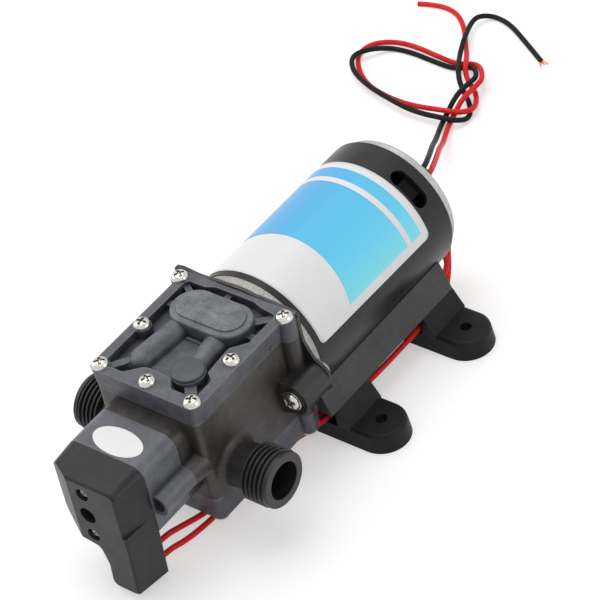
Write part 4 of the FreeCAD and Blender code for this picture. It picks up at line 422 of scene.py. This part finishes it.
def turned(name, place, profile, mat, out=(0, 0, 1)):
    """Piece turned about out at place: the profile gives radius and height, from pole to pole."""
    sides = 64
    rings = circles(profile[1:-1], sides)
    first, last = [[0.0, 0.0, profile[0][1]]], [[0.0, 0.0, profile[-1][1]]]
    points = np.concatenate([first, rings.reshape(-1, 3), last])
    aim = np.array(towards(out))
    piece = skin(name, points @ aim.T + np.array(place), pole_faces(len(rings), sides), mat)
    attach(piece, "pump")


def plate_edge(name, mat):
    """Strip along the plate's top: a box section whose upper side follows smooth steps,
    s^2 (3 - 2 s) of the way s between two of the given heights, from one end to the other."""
    knots = np.array(PLATE_EDGE)
    x = np.linspace(knots[0, 0], knots[-1, 0], 120)
    step = np.clip(np.searchsorted(knots[:, 0], x, side="right") - 1, 0, len(knots) - 2)
    share = (x - knots[step, 0]) / (knots[step + 1, 0] - knots[step, 0])
    share = share * share * (3.0 - 2.0 * share)
    top = knots[step, 1] + (knots[step + 1, 1] - knots[step, 1]) * share
    low = np.full_like(x, PLATE_LOW)
    front = np.full_like(x, PLATE_FRONT)
    back = np.full_like(x, PLATE_BACK)
    ring = [np.stack([x, front, low], -1), np.stack([x, front, top], -1),
            np.stack([x, back, top], -1), np.stack([x, back, low], -1)]
    rings = np.stack(ring, axis=1)
    points = np.concatenate([[rings[0].mean(axis=0)], rings.reshape(-1, 3), [rings[-1].mean(axis=0)]])
    piece = skin(name, points, pole_faces(len(x), 4), mat, 30.0)
    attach(piece, "pump")


def can_patch(name, mat, right, slant, left, front, rear, lift, corner=0.0, arch=0.0):
    """Printed or paper patch that follows the can. Across it the angle runs from right, which shifts
    by slant along the patch, to left, with more columns near both ends; along it y runs from front,
    less arch times the square of the angle from the arch's middle, to rear. Corners are drawn in as
    quarter circles of radius corner."""
    columns, rows = 121, 41
    across = 0.5 - 0.5 * np.cos(np.linspace(0.0, np.pi, columns))[None, :]
    along = np.linspace(0.0, 1.0, rows)[:, None]
    begin = right + slant * along
    angle = np.radians(begin + (left - begin) * across)
    width = math.radians(left - right) * CAN_R
    from_edge = np.minimum(across, 1.0 - across) * width
    near = np.clip(corner - from_edge, 0.0, None)
    inset = corner - np.sqrt(np.clip(corner ** 2 - near ** 2, 0.0, None))
    low = front + inset - arch * (np.degrees(angle) - ARCH_MID) ** 2
    y = low + (rear - inset - low) * along
    radius = CAN_R + lift
    points = np.stack([radius * np.cos(angle), y, radius * np.sin(angle)], axis=-1).reshape(-1, 3)
    piece = skin(name, points, grid_faces(rows, columns), mat)
    from_axis = row(points[0]) - row((0.0, points[0][1], 0.0))
    if piece.data.polygons[0].normal.dot(from_axis) < 0:
        piece.data.flip_normals()
    wall = piece.modifiers.new("wall", "SOLIDIFY")
    wall.thickness = PAPER_WALL / MM
    wall.offset = -1.0
    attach(piece, "pump")


def oval(name, middle, size, tilt, height, mat):
    """Flat oval sheet: rings of an ellipse about its middle, turned by tilt, over its top, round its
    softened rim and back under it."""
    sides = 96
    turn = np.linspace(0.0, 2 * np.pi, sides, endpoint=False)
    share = np.array([0.4, 0.8, 1.0, 1.0, 0.8, 0.4])[:, None]
    level = np.array([1.0, 1.0, 0.85, 0.1, 0.1, 0.1])[:, None]
    along = size[0] * share * np.cos(turn)
    across = size[1] * share * np.sin(turn)
    x = middle[0] + along * math.cos(tilt) - across * math.sin(tilt)
    y = middle[1] + along * math.sin(tilt) + across * math.cos(tilt)
    z = height + OVAL_WALL * level * np.ones_like(x)
    rings = np.stack([x, y, z], axis=-1)
    top, under = [[*middle, height + OVAL_WALL]], [[*middle, height + OVAL_WALL * level[-1, 0]]]
    points = np.concatenate([top, rings.reshape(-1, 3), under])
    piece = skin(name, points, pole_faces(len(share), sides), mat)
    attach(piece, "pump")


def lead(name, route, mat):
    """Round wire along one smooth spline that has the route's points as its control points."""
    curve = bpy.data.curves.new(name, "CURVE")
    curve.dimensions = "3D"
    curve.bevel_depth = WIRE_R / MM
    curve.bevel_resolution = 5
    curve.resolution_u = 8
    curve.use_fill_caps = True
    spline = curve.splines.new("NURBS")
    spline.points.add(len(route) - 1)
    for point, place in zip(spline.points, route):
        point.co = (*row(place), 1.0)
    spline.order_u = 3
    spline.use_endpoint_u = True
    curve.materials.append(mat)
    return link(bpy.data.objects.new(name, curve))


def material(name):
    """New node material, with its tree and its shader."""
    mat = bpy.data.materials.new(name)
    mat.use_nodes = True
    return mat, mat.node_tree, mat.node_tree.nodes["Principled BSDF"]


def group(name, inputs):
    """Shader node group with named number inputs and the output Mask, and its two end nodes."""
    tree = bpy.data.node_groups.new(name, "ShaderNodeTree")
    for label, value in inputs:
        socket = tree.interface.new_socket(name=label, in_out="INPUT", socket_type="NodeSocketFloat")
        socket.default_value = value
    tree.interface.new_socket(name="Mask", in_out="OUTPUT", socket_type="NodeSocketFloat")
    return tree, tree.nodes.new("NodeGroupInput"), tree.nodes.new("NodeGroupOutput")


def feed(tree, value, socket):
    """Gives a socket its value: a number or a colour is set on it, and a node's output is linked to it."""
    if isinstance(value, bpy.types.NodeSocket):
        tree.links.new(value, socket)
    elif isinstance(value, tuple):
        socket.default_value = (*value, 1.0)
    else:
        socket.default_value = value


def math_node(tree, operation, first, second=0.0, third=0.0, clamp=False):
    """Result of one Math operation on numbers or outputs."""
    node = tree.nodes.new("ShaderNodeMath")
    node.operation = operation
    node.use_clamp = clamp
    for socket, value in zip(node.inputs, (first, second, third)):
        feed(tree, value, socket)
    return node.outputs["Value"]


def spread(tree, value, start, end, low=0.0, high=1.0):
    """Goes evenly from low to high while the value goes from start to end, and no further."""
    node = tree.nodes.new("ShaderNodeMapRange")
    given = {"Value": value, "From Min": start, "From Max": end, "To Min": low, "To Max": high}
    for label, setting in given.items():
        feed(tree, setting, node.inputs[label])
    return node.outputs["Result"]


def position(tree):
    """The surface point's x, y and z in the row frame, in metres."""
    coords = tree.nodes.new("ShaderNodeTexCoord")
    parts = tree.nodes.new("ShaderNodeSeparateXYZ")
    tree.links.new(coords.outputs["Object"], parts.inputs["Vector"])
    return parts.outputs


def above_axis(tree, place):
    """Height of the surface point over the motor's axis, in metres."""
    return math_node(tree, "SUBTRACT", place["Z"], PLACE.z / MM)


def noise(tree, scale, detail, roughness):
    """Noise through the row frame, from 0 to 1."""
    coords = tree.nodes.new("ShaderNodeTexCoord")
    cells = tree.nodes.new("ShaderNodeTexNoise")
    tree.links.new(coords.outputs["Object"], cells.inputs["Vector"])
    for label, given in (("Scale", scale), ("Detail", detail), ("Roughness", roughness)):
        feed(tree, given, cells.inputs[label])
    return cells.outputs["Fac"]


def openness(tree, reach, inside=False):
    """How open the space within reach is: in front of the surface, or behind it with inside."""
    node = tree.nodes.new("ShaderNodeAmbientOcclusion")
    node.inside = inside
    node.only_local = True
    node.samples = SHADE_SAMPLES
    tree.links.new(reach, node.inputs["Distance"])
    return node.outputs["AO"]


def mottle_group():
    """Blotches: coarse noise with finer noise laid over it, from 0 to 1."""
    tree, entry, end = group("mottle", [("Scale", 150.0), ("Fine", 6.0), ("Fine Share", 0.35)])
    coarse = entry.outputs["Scale"]
    fine = math_node(tree, "MULTIPLY", coarse, entry.outputs["Fine"])
    mixed = tree.nodes.new("ShaderNodeMix")
    feed(tree, entry.outputs["Fine Share"], mixed.inputs["Factor"])
    feed(tree, noise(tree, coarse, detail=5.0, roughness=0.6), mixed.inputs["A"])
    feed(tree, noise(tree, fine, detail=5.0, roughness=0.6), mixed.inputs["B"])
    feed(tree, spread(tree, mixed.outputs["Result"], *NOISE_RANGE), end.inputs["Mask"])
    return tree


def wear_group():
    """Rubbed outer edges: nearness of another face behind the surface, broken up by noise."""
    tree, entry, end = group("edge_wear", [("Width", 0.0006), ("Breakup", 900.0), ("Amount", 1.0)])
    edge = math_node(tree, "SUBTRACT", 1.0, openness(tree, entry.outputs["Width"], inside=True))
    cells = noise(tree, entry.outputs["Breakup"], detail=3.0, roughness=0.5)
    patches = math_node(tree, "ADD", cells, WEAR_EVEN)
    broken = spread(tree, math_node(tree, "MULTIPLY", edge, patches), *WEAR_RANGE)
    scaled = math_node(tree, "MULTIPLY", broken, entry.outputs["Amount"], clamp=True)
    feed(tree, scaled, end.inputs["Mask"])
    return tree


def hollow_group():
    """Darkening in hollows and along inner corners, from how much of the open side is shut in: painted shade
    on the plastics, and grime with painted shade on the screws.
    """
    tree, entry, end = group("hollows", [("Reach", 0.003), ("Amount", 1.0)])
    shut = math_node(tree, "SUBTRACT", 1.0, openness(tree, entry.outputs["Reach"]))
    shade_and_dirt = spread(tree, shut, *HOLLOW_RANGE)
    scaled = math_node(tree, "MULTIPLY", shade_and_dirt, entry.outputs["Amount"], clamp=True)
    feed(tree, scaled, end.inputs["Mask"])
    return tree


def raised_group():
    """How far a point of either cover stands out from the head's middle, between Low and High; what stands
    out less takes more painted shade.
    """
    tree, entry, end = group("raised", [("Low", 0.0255), ("High", 0.0280)])
    height = math_node(tree, "ABSOLUTE", above_axis(tree, position(tree)))
    feed(tree, spread(tree, height, entry.outputs["Low"], entry.outputs["High"]), end.inputs["Mask"])
    return tree


def placed(tree, source, **values):
    """A node group set in a material with its own values; gives its only output."""
    node = tree.nodes.new("ShaderNodeGroup")
    node.node_tree = source
    for label, value in values.items():
        node.inputs[label.replace("_", " ")].default_value = value
    return node.outputs[0]


def ramp(tree, source, stops):
    """Colour that runs evenly between stops, each a place from 0 to 1 and a colour."""
    node = tree.nodes.new("ShaderNodeValToRGB")
    elements = node.color_ramp.elements
    while len(elements) > 1:
        elements.remove(elements[-1])
    for i, (place, colour) in enumerate(stops):
        element = elements[0] if i == 0 else elements.new(place)
        element.position = place
        element.color = (*colour, 1.0)
    tree.links.new(source, node.inputs["Fac"])
    return node.outputs["Color"]


def blend_colour(tree, share, first, second):
    """First colour where share is 0, second where it is 1."""
    node = tree.nodes.new("ShaderNodeMix")
    node.data_type = "RGBA"
    tree.links.new(share, node.inputs["Factor"])
    targets = {socket.name: socket for socket in node.inputs if socket.type == "RGBA"}
    feed(tree, first, targets["A"])
    feed(tree, second, targets["B"])
    return [socket for socket in node.outputs if socket.type == "RGBA"][0]


def bump(tree, shader, height, distance, edge):
    """Bump from one height; edge rounds the look of sharp edges by that many metres."""
    node = tree.nodes.new("ShaderNodeBump")
    node.inputs["Strength"].default_value = BUMP
    node.inputs["Distance"].default_value = distance
    tree.links.new(height, node.inputs["Height"])
    if edge:
        bevel = tree.nodes.new("ShaderNodeBevel")
        bevel.samples = SHADE_SAMPLES
        bevel.inputs["Radius"].default_value = edge
        tree.links.new(bevel.outputs["Normal"], node.inputs["Normal"])
    tree.links.new(node.outputs["Normal"], shader.inputs["Normal"])


def moulded(name, dark, light, rough, scale=150.0, worn=None, width=0.0006, wear=1.0, grain=2600.0,
            depth=0.00005, edge=0.0003, shine=0.35, hollow=None, reach=0.003, sunk=0.0, sides=None):
    """Moulded plastic or rubber: blotchy tone from dark to light, edges rubbed to worn, fine grain and
    softened corners. Hollows go to the hollow tone, a painted shade, and so does, by the share sunk, what
    doesn't stand out. Sides are two distances from the middle plane, in metres, and the tone of painted
    shade that takes over between."""
    mat, tree, shader = material(name)
    colour = ramp(tree, placed(tree, MOTTLE, Scale=scale), [(0.0, dark), (1.0, light)])
    if worn:
        colour = blend_colour(tree, placed(tree, WEAR, Width=width, Amount=wear), colour, worn)
    if hollow:
        # Painted shade: hollows, and by the share sunk what doesn't stand out, go to the hollow tone
        painted_shade = placed(tree, HOLLOWS, Reach=reach, Amount=HOLLOW_SHADE_SHARE)
        if sunk:
            below = math_node(tree, "MULTIPLY_ADD", placed(tree, RAISED), -sunk, sunk)
            painted_shade = math_node(tree, "MAXIMUM", painted_shade, below)
        colour = blend_colour(tree, painted_shade, colour, hollow)
    if sides:
        # Painted shade: the head's sides, from near to far off the middle plane, go to the sides' tone
        near, far, tone = sides
        from_middle = math_node(tree, "ABSOLUTE", position(tree)["X"])
        colour = blend_colour(tree, spread(tree, from_middle, near, far, high=SIDE_SHADE_SHARE), colour, tone)
    tree.links.new(colour, shader.inputs["Base Color"])
    patches = placed(tree, MOTTLE, Scale=scale * GLOSS_CELLS)
    gloss = spread(tree, patches, 0.0, 1.0, rough + ROUGHER, rough + SMOOTHER)
    tree.links.new(gloss, shader.inputs["Roughness"])
    shader.inputs["Specular IOR Level"].default_value = shine
    bump(tree, shader, placed(tree, MOTTLE, Scale=grain, Fine_Share=0.2), depth, edge)
    return mat


def metal(name, dark, light, rough, grain, depth=0.00002, metallic=1.0, edge=0.0002, grime_and_shade=None):
    """Metal: fine tone cells, and where it is given, grime in patches and grime with painted shade in
    hollows.
    """
    mat, tree, shader = material(name)
    shader.inputs["Metallic"].default_value = metallic
    cells = placed(tree, MOTTLE, Scale=grain)
    colour = ramp(tree, cells, [(0.0, dark), (1.0, light)])
    if grime_and_shade:
        film = math_node(tree, "MULTIPLY", placed(tree, MOTTLE, Scale=grain * GRIME_CELLS), GRIME_FILM)
        # Grime and painted shade: corners and recesses go to the given tone
        corners = placed(tree, HOLLOWS, Reach=CORNER_GRIME_AND_SHADE_REACH, Amount=CORNER_GRIME_AND_SHADE_AMOUNT)
        colour = blend_colour(tree, math_node(tree, "MAXIMUM", film, corners), colour, grime_and_shade)
    tree.links.new(colour, shader.inputs["Base Color"])
    shader.inputs["Roughness"].default_value = rough
    bump(tree, shader, cells, depth, edge)
    return mat


def ink(name, stops):
    """Printed colour that runs across the label with the angle about the can, a little speckled."""
    mat, tree, shader = material(name)
    place = position(tree)
    angle = math_node(tree, "ARCTAN2", above_axis(tree, place), place["X"])
    share = math_node(tree, "DIVIDE", angle, math.pi)
    speck = math_node(tree, "MULTIPLY", placed(tree, MOTTLE, Scale=400.0), INK_SPECKLE)
    tree.links.new(ramp(tree, math_node(tree, "ADD", share, speck), stops), shader.inputs["Base Color"])
    shader.inputs["Roughness"].default_value = 0.32
    shader.inputs["Specular IOR Level"].default_value = PAPER_SHINE
    return mat


def paper(name, tone, rough):
    """Coated paper: one pale tone, faintly blotched."""
    mat, tree, shader = material(name)
    shade = tuple(channel * PAPER_BLOTCH for channel in tone)
    colour = ramp(tree, placed(tree, MOTTLE, Scale=220.0), [(0.0, shade), (1.0, tone)])
    tree.links.new(colour, shader.inputs["Base Color"])
    shader.inputs["Roughness"].default_value = rough
    shader.inputs["Specular IOR Level"].default_value = PAPER_SHINE
    return mat


def paint(node, mat):
    """Gives a node of the frame its finish."""
    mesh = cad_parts[node].data
    mesh.materials.clear()
    mesh.materials.append(mat)


def place_camera():
    """Camera at the photograph's place. It looks straight down at first, and is rolled about its own
    axis, tipped up and turned."""
    data = bpy.data.cameras.new("camera")
    data.lens = LENS
    data.sensor_width = SENSOR
    data.clip_start = CLIP_NEAR
    data.clip_end = CLIP_FAR
    camera = link(bpy.data.objects.new("camera", data))
    aim = (Matrix.Rotation(math.radians(CAMERA_TURN), 4, "Z")
           @ Matrix.Rotation(math.radians(90.0 - CAMERA_DIP), 4, "X")
           @ Matrix.Rotation(math.radians(CAMERA_ROLL), 4, "Z"))
    camera.matrix_world = Matrix.Translation(Vector(CAMERA_AT) / MM) @ aim
    bpy.context.scene.camera = camera


def seen_by(tree, kinds):
    """1 for rays of the named kinds, and 0 for all others."""
    path = tree.nodes.new("ShaderNodeLightPath")
    mask = path.outputs[kinds[0]]
    for kind in kinds[1:]:
        mask = math_node(tree, "MAXIMUM", mask, path.outputs[kind])
    return mask


def lay_floor():
    """Pale floor. Its glow, which lifts it to near white, meets only the camera and reflections."""
    mesh = bpy.data.meshes.new("floor")
    corners = [(x * FLOOR_HALF, y * FLOOR_HALF, 0.0) for x, y in ((-1, -1), (1, -1), (1, 1), (-1, 1))]
    mesh.from_pydata(corners, [], [(0, 1, 2, 3)])
    floor = link(bpy.data.objects.new("floor", mesh))
    mat, tree, shader = material("floor")
    shader.inputs["Base Color"].default_value = (FLOOR_TONE, FLOOR_TONE, FLOOR_TONE, 1.0)
    shader.inputs["Roughness"].default_value = 0.9
    shader.inputs["Emission Color"].default_value = (1.0, 1.0, 1.0, 1.0)
    glow = math_node(tree, "MULTIPLY", seen_by(tree, ("Is Camera Ray", "Is Glossy Ray")), FLOOR_GLOW)
    tree.links.new(glow, shader.inputs["Emission Strength"])
    mesh.materials.append(mat)


def light_world():
    """Even white light of strength AMBIENT, which the camera, reflections and glass see as plain white."""
    world = bpy.data.worlds.new("studio")
    world.use_nodes = True
    tree = world.node_tree
    sky = tree.nodes["Background"]
    sky.inputs["Color"].default_value = (1.0, 1.0, 1.0, 1.0)
    direct = seen_by(tree, ("Is Camera Ray", "Is Glossy Ray", "Is Transmission Ray"))
    tree.links.new(math_node(tree, "MULTIPLY_ADD", direct, 1.0 - AMBIENT, AMBIENT), sky.inputs["Strength"])
    bpy.context.scene.world = world


def soft_light(name, place, size, power):
    """Square light at place that faces the object."""
    data = bpy.data.lights.new(name, "AREA")
    data.shape = "SQUARE"
    data.size = size
    data.energy = power
    light = link(bpy.data.objects.new(name, data))
    light.location = place
    light.rotation_mode = "QUATERNION"
    light.rotation_quaternion = (Vector(LIGHT_AIM) - Vector(place)).to_track_quat("-Z", "Y")


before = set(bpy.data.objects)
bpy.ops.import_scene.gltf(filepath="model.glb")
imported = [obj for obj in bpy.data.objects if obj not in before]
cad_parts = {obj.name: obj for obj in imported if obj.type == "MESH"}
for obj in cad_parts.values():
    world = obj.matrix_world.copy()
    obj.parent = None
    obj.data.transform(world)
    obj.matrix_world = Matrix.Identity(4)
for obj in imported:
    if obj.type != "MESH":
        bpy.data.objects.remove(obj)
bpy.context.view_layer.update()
place_camera()

# Finishes of the plastics and rubbers
MOTTLE = mottle_group()
WEAR = wear_group()
HOLLOWS = hollow_group()
RAISED = raised_group()
# Covers: painted shade in their hollows and on what doesn't stand out
covers_mat = moulded("covers_plastic", (0.064, 0.067, 0.080), (0.215, 0.222, 0.255), 0.43, scale=190.0,
                     worn=(0.36, 0.37, 0.41), width=0.0008, wear=0.9, shine=0.5,
                     hollow=(0.020, 0.021, 0.026), reach=0.008, sunk=0.55)
boss_mat = moulded("boss_plastic", (0.030, 0.032, 0.038), (0.075, 0.078, 0.090), 0.38, scale=190.0,
                   worn=(0.22, 0.225, 0.25), wear=0.8, shine=0.5)
# Switch base: painted shade in its hollows
base_mat = moulded("switch_base_plastic", (0.070, 0.073, 0.085), (0.140, 0.145, 0.166), 0.38, scale=120.0,
                   worn=(0.26, 0.27, 0.30), wear=0.7, shine=0.5, hollow=(0.03, 0.03, 0.034))
# Body: painted shade in its hollows and on the head's sides, with the ports
body_mat = moulded("body_plastic", (0.016, 0.014, 0.013), (0.060, 0.053, 0.049), 0.40, scale=170.0,
                   worn=(0.17, 0.165, 0.16), wear=0.7, shine=0.45, hollow=(0.010, 0.009, 0.009),
                   reach=0.0035, sides=(0.0235, 0.0275, (0.010, 0.0095, 0.009)))
switch_mat = moulded("switch_cover_plastic", (0.016, 0.016, 0.017), (0.025, 0.025, 0.026), 0.36, scale=90.0,
                     worn=(0.075, 0.075, 0.078), wear=0.8, shine=0.25)
bracket_mat = moulded("bracket_plastic", (0.040, 0.040, 0.042), (0.058, 0.058, 0.061), 0.50, scale=110.0,
                      worn=(0.10, 0.10, 0.105), width=0.0004, wear=0.4)
foot_mat = moulded("foot_rubber", (0.004, 0.004, 0.005), (0.009, 0.009, 0.010), 0.50, scale=200.0, shine=0.2)
rubber_mat = moulded("soft_rubber", (0.012, 0.012, 0.012), (0.022, 0.022, 0.022), 0.6, scale=220.0)
can_mat = moulded("can_paint", (0.013, 0.013, 0.014), (0.017, 0.017, 0.018), 0.32, scale=60.0,
                  grain=1500.0, depth=0.00001, shine=0.3)
white_mat = moulded("inner_plastic", (0.52, 0.51, 0.48), (0.60, 0.59, 0.56), 0.45, scale=90.0)
# Brush plate: dark phenolic, made darker still as painted shade inside the can, where it shows through the
# vent
phenolic_mat = moulded("phenolic_board", (0.005, 0.004, 0.004), (0.011, 0.010, 0.008), 0.65, scale=300.0,
                       shine=0.1)
carbon_mat = moulded("carbon", (0.02, 0.02, 0.02), (0.05, 0.05, 0.05), 0.7, scale=900.0)
orange_mat = moulded("silicone", (0.42, 0.14, 0.05), (0.52, 0.19, 0.07), 0.5, scale=200.0)
black_lead_mat = moulded("black_sheath", (0.015, 0.015, 0.016), (0.026, 0.026, 0.028), 0.46, scale=300.0,
                         depth=0.00002, edge=0.0, shine=0.06)
red_lead_mat = moulded("red_sheath", (0.66, 0.018, 0.022), (0.82, 0.036, 0.040), 0.42, scale=300.0,
                       depth=0.00002, edge=0.0, shine=0.1)

# Finishes of the metals
flange_mat = metal("cast_flange", (0.16, 0.15, 0.14), (0.62, 0.60, 0.57), 0.52, 1700.0, depth=0.0001,
                   metallic=0.35)
cap_mat = metal("cap_steel", (0.36, 0.35, 0.34), (0.56, 0.55, 0.53), 0.42, 900.0, metallic=0.85)
steel_mat = metal("ground_steel", (0.50, 0.50, 0.50), (0.66, 0.66, 0.66), 0.28, 900.0)
# Screws: grime and painted shade in their cross recesses and corners
screw_mat = metal("nickel", (0.52, 0.50, 0.46), (0.80, 0.78, 0.74), 0.22, 800.0, grime_and_shade=(0.075, 0.045, 0.028))
lamination_mat = metal("laminations", (0.10, 0.10, 0.10), (0.18, 0.18, 0.18), 0.5, 500.0)
enamel_mat = metal("wire_enamel", (0.10, 0.04, 0.02), (0.20, 0.08, 0.04), 0.4, 900.0, metallic=0.6)
copper_mat = metal("copper", (0.56, 0.22, 0.10), (0.76, 0.36, 0.18), 0.34, 900.0)
ferrite_mat = metal("ferrite", (0.03, 0.03, 0.03), (0.06, 0.06, 0.06), 0.7, 600.0, metallic=0.2)
zinc_mat = metal("die_cast", (0.42, 0.42, 0.43), (0.58, 0.58, 0.59), 0.42, 700.0)
brass_mat = metal("brass_tabs", (0.60, 0.44, 0.18), (0.78, 0.60, 0.30), 0.3, 700.0)

# Finishes of the label and the sticker
paper_mat = paper("label_paper", (0.84, 0.84, 0.85), 0.32)
sticker_mat = paper("sticker_paper", (0.88, 0.88, 0.88), 0.4)
ink_mat = ink("label_ink", INK_STOPS)

FINISH = {
    covers_mat: ["top_cover", "bottom_cover"],
    base_mat: ["switch_base"],
    body_mat: ["pump_body", "micro_switch"],
    switch_mat: ["switch_cover"],
    bracket_mat: ["mounting_bracket"],
    foot_mat: ["front_foot", "rear_foot"],
    rubber_mat: ["port_seals", "top_diaphragm", "bottom_diaphragm", "switch_diaphragm",
                 "lead_grommet", "wire_grommet"],
    can_mat: ["motor_can"],
    white_mat: ["connecting_rod", "piston_clamps", "top_valve_plate", "bottom_valve_plate",
                "pressure_plunger"],
    phenolic_mat: ["brush_plate"],
    carbon_mat: ["upper_brush", "lower_brush"],
    orange_mat: ["top_inlet_valve", "top_outlet_valve", "bottom_inlet_valve", "bottom_outlet_valve",
                 "switch_button"],
    flange_mat: ["motor_front_flange"],
    cap_mat: ["motor_end_cap"],
    steel_mat: ["front_bearing", "rear_bearing", "rod_bearing", "motor_shaft", "adjusting_screw",
                "upper_brush_spring", "lower_brush_spring", "switch_spring"],
    screw_mat: ["top_cover_screws", "bottom_cover_screws", "head_screws", "switch_base_screws",
                "switch_cover_screws", "foot_screws", "piston_screws"],
    lamination_mat: ["armature_core"],
    enamel_mat: ["armature_windings"],
    copper_mat: ["commutator", "lead_strands"],
    ferrite_mat: ["magnets"],
    zinc_mat: ["eccentric", "spring_seat"],
    brass_mat: ["switch_terminals"],
    black_lead_mat: ["black_lead"],
    red_lead_mat: ["red_lead", "switch_wires"],
}
for finish, nodes in FINISH.items():
    for node in nodes:
        paint(node, finish)

# Leads
black_lead = lead("black_sheath", BLACK_ROUTE, black_lead_mat)
red_lead = lead("red_sheath", RED_ROUTE, red_lead_mat)
for piece, node, slot in ((black_lead, "black_lead", "black_pvc"), (red_lead, "red_lead", "red_pvc")):
    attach(piece, "pump")
    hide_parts(node)

# Switch wires, held at both ends and under the bracket
for name, route in (("upper_switch_wire", UPPER_WIRE), ("lower_switch_wire", LOWER_WIRE)):
    wire = lead(name, route, red_lead_mat)
    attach(wire, "pump")
    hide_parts("switch_wires")

# Screws of the two covers, the ears, the switch's base and cover, and the feet
cover_screws = [(side * x, y) for x, y in COVER_SCREW_PAIRS for side in (1, -1)] + [COVER_SCREW_FRONT]
for cover, side in (("top", 1), ("bottom", -1)):
    seats = [(x, y, side * RIM_Z) for x, y in cover_screws]
    screws(f"{cover}_cover_screw_set", f"{cover}_cover_screws", seats,
           (0, 0, side), COVER_HEAD, SCREW_R, COVER_SCREW_LEN, screw_mat)
seats = [(side * LOBE[0], LOBE[1], LOBE[2]) for side in (1, -1)]
screws("head_screw_pair", "head_screws", seats,
       (0, -1, 0), LOBE_HEAD, SCREW_R, LOBE_SCREW_LEN, screw_mat, WASHER)
seats = [(side * COLUMN[0], COLUMN[1], COLUMN[2]) for side in (1, -1)]
screws("switch_base_screw_pair", "switch_base_screws", seats,
       (0, -1, 0), COLUMN_HEAD, SCREW_R, COLUMN_SCREW_LEN, screw_mat)
seats = [(0.0, SWITCH_SCREW_Y, z) for z in SWITCH_SCREW_Z]
screws("switch_cover_screw_pair", "switch_cover_screws", seats,
       (0, -1, 0), SWITCH_HEAD, SWITCH_SCREW_R, SWITCH_SCREW_LEN, screw_mat)
seats = [(0.0, y, FOOT_SCREW_Z) for y in FOOT_SCREW_Y]
screws("foot_screw_pair", "foot_screws", seats,
       (0, 0, -1), FOOT_HEAD, FOOT_SCREW_R, FOOT_SCREW_LEN, screw_mat)

# Label and sticker, both without lettering
can_patch("label_paper", paper_mat, right=LABEL_RIGHT, slant=LABEL_SLANT, left=LABEL_LEFT,
          front=LABEL_FRONT, rear=LABEL_REAR, lift=PAPER_LIFT, corner=LABEL_CORNER)
can_patch("label_panel", ink_mat, right=PRINT_RIGHT, slant=PRINT_SLANT, left=PRINT_LEFT,
          front=ARCH_TOP, rear=PANEL_REAR, lift=INK_LIFT, arch=ARCH_FALL)
can_patch("label_band", ink_mat, right=BAND_RIGHT, slant=BAND_SLANT, left=PRINT_LEFT,
          front=BAND_FRONT, rear=BAND_REAR, lift=INK_LIFT)
oval("oval_sticker", OVAL, OVAL_SIZE, OVAL_TILT, SWITCH_TOP, sticker_mat)

# Small forms of the head: disc, lump, plate's edge and stub
turned("boss_disc", BOSS_DISC_AT, BOSS_DISC, boss_mat)
turned("outlet_lump", LUMP_AT, LUMP, covers_mat)
plate_edge("plate_edge", body_mat)
turned("gate_stub", GATE_AT, GATE_STUB, body_mat, (1, 0, 0))

# Floor, backdrop and light
lay_floor()
light_world()
for name, (place, size, power) in LIGHTS.items():
    soft_light(name, place, size, power)
bpy.context.scene.view_settings.view_transform = "Standard"
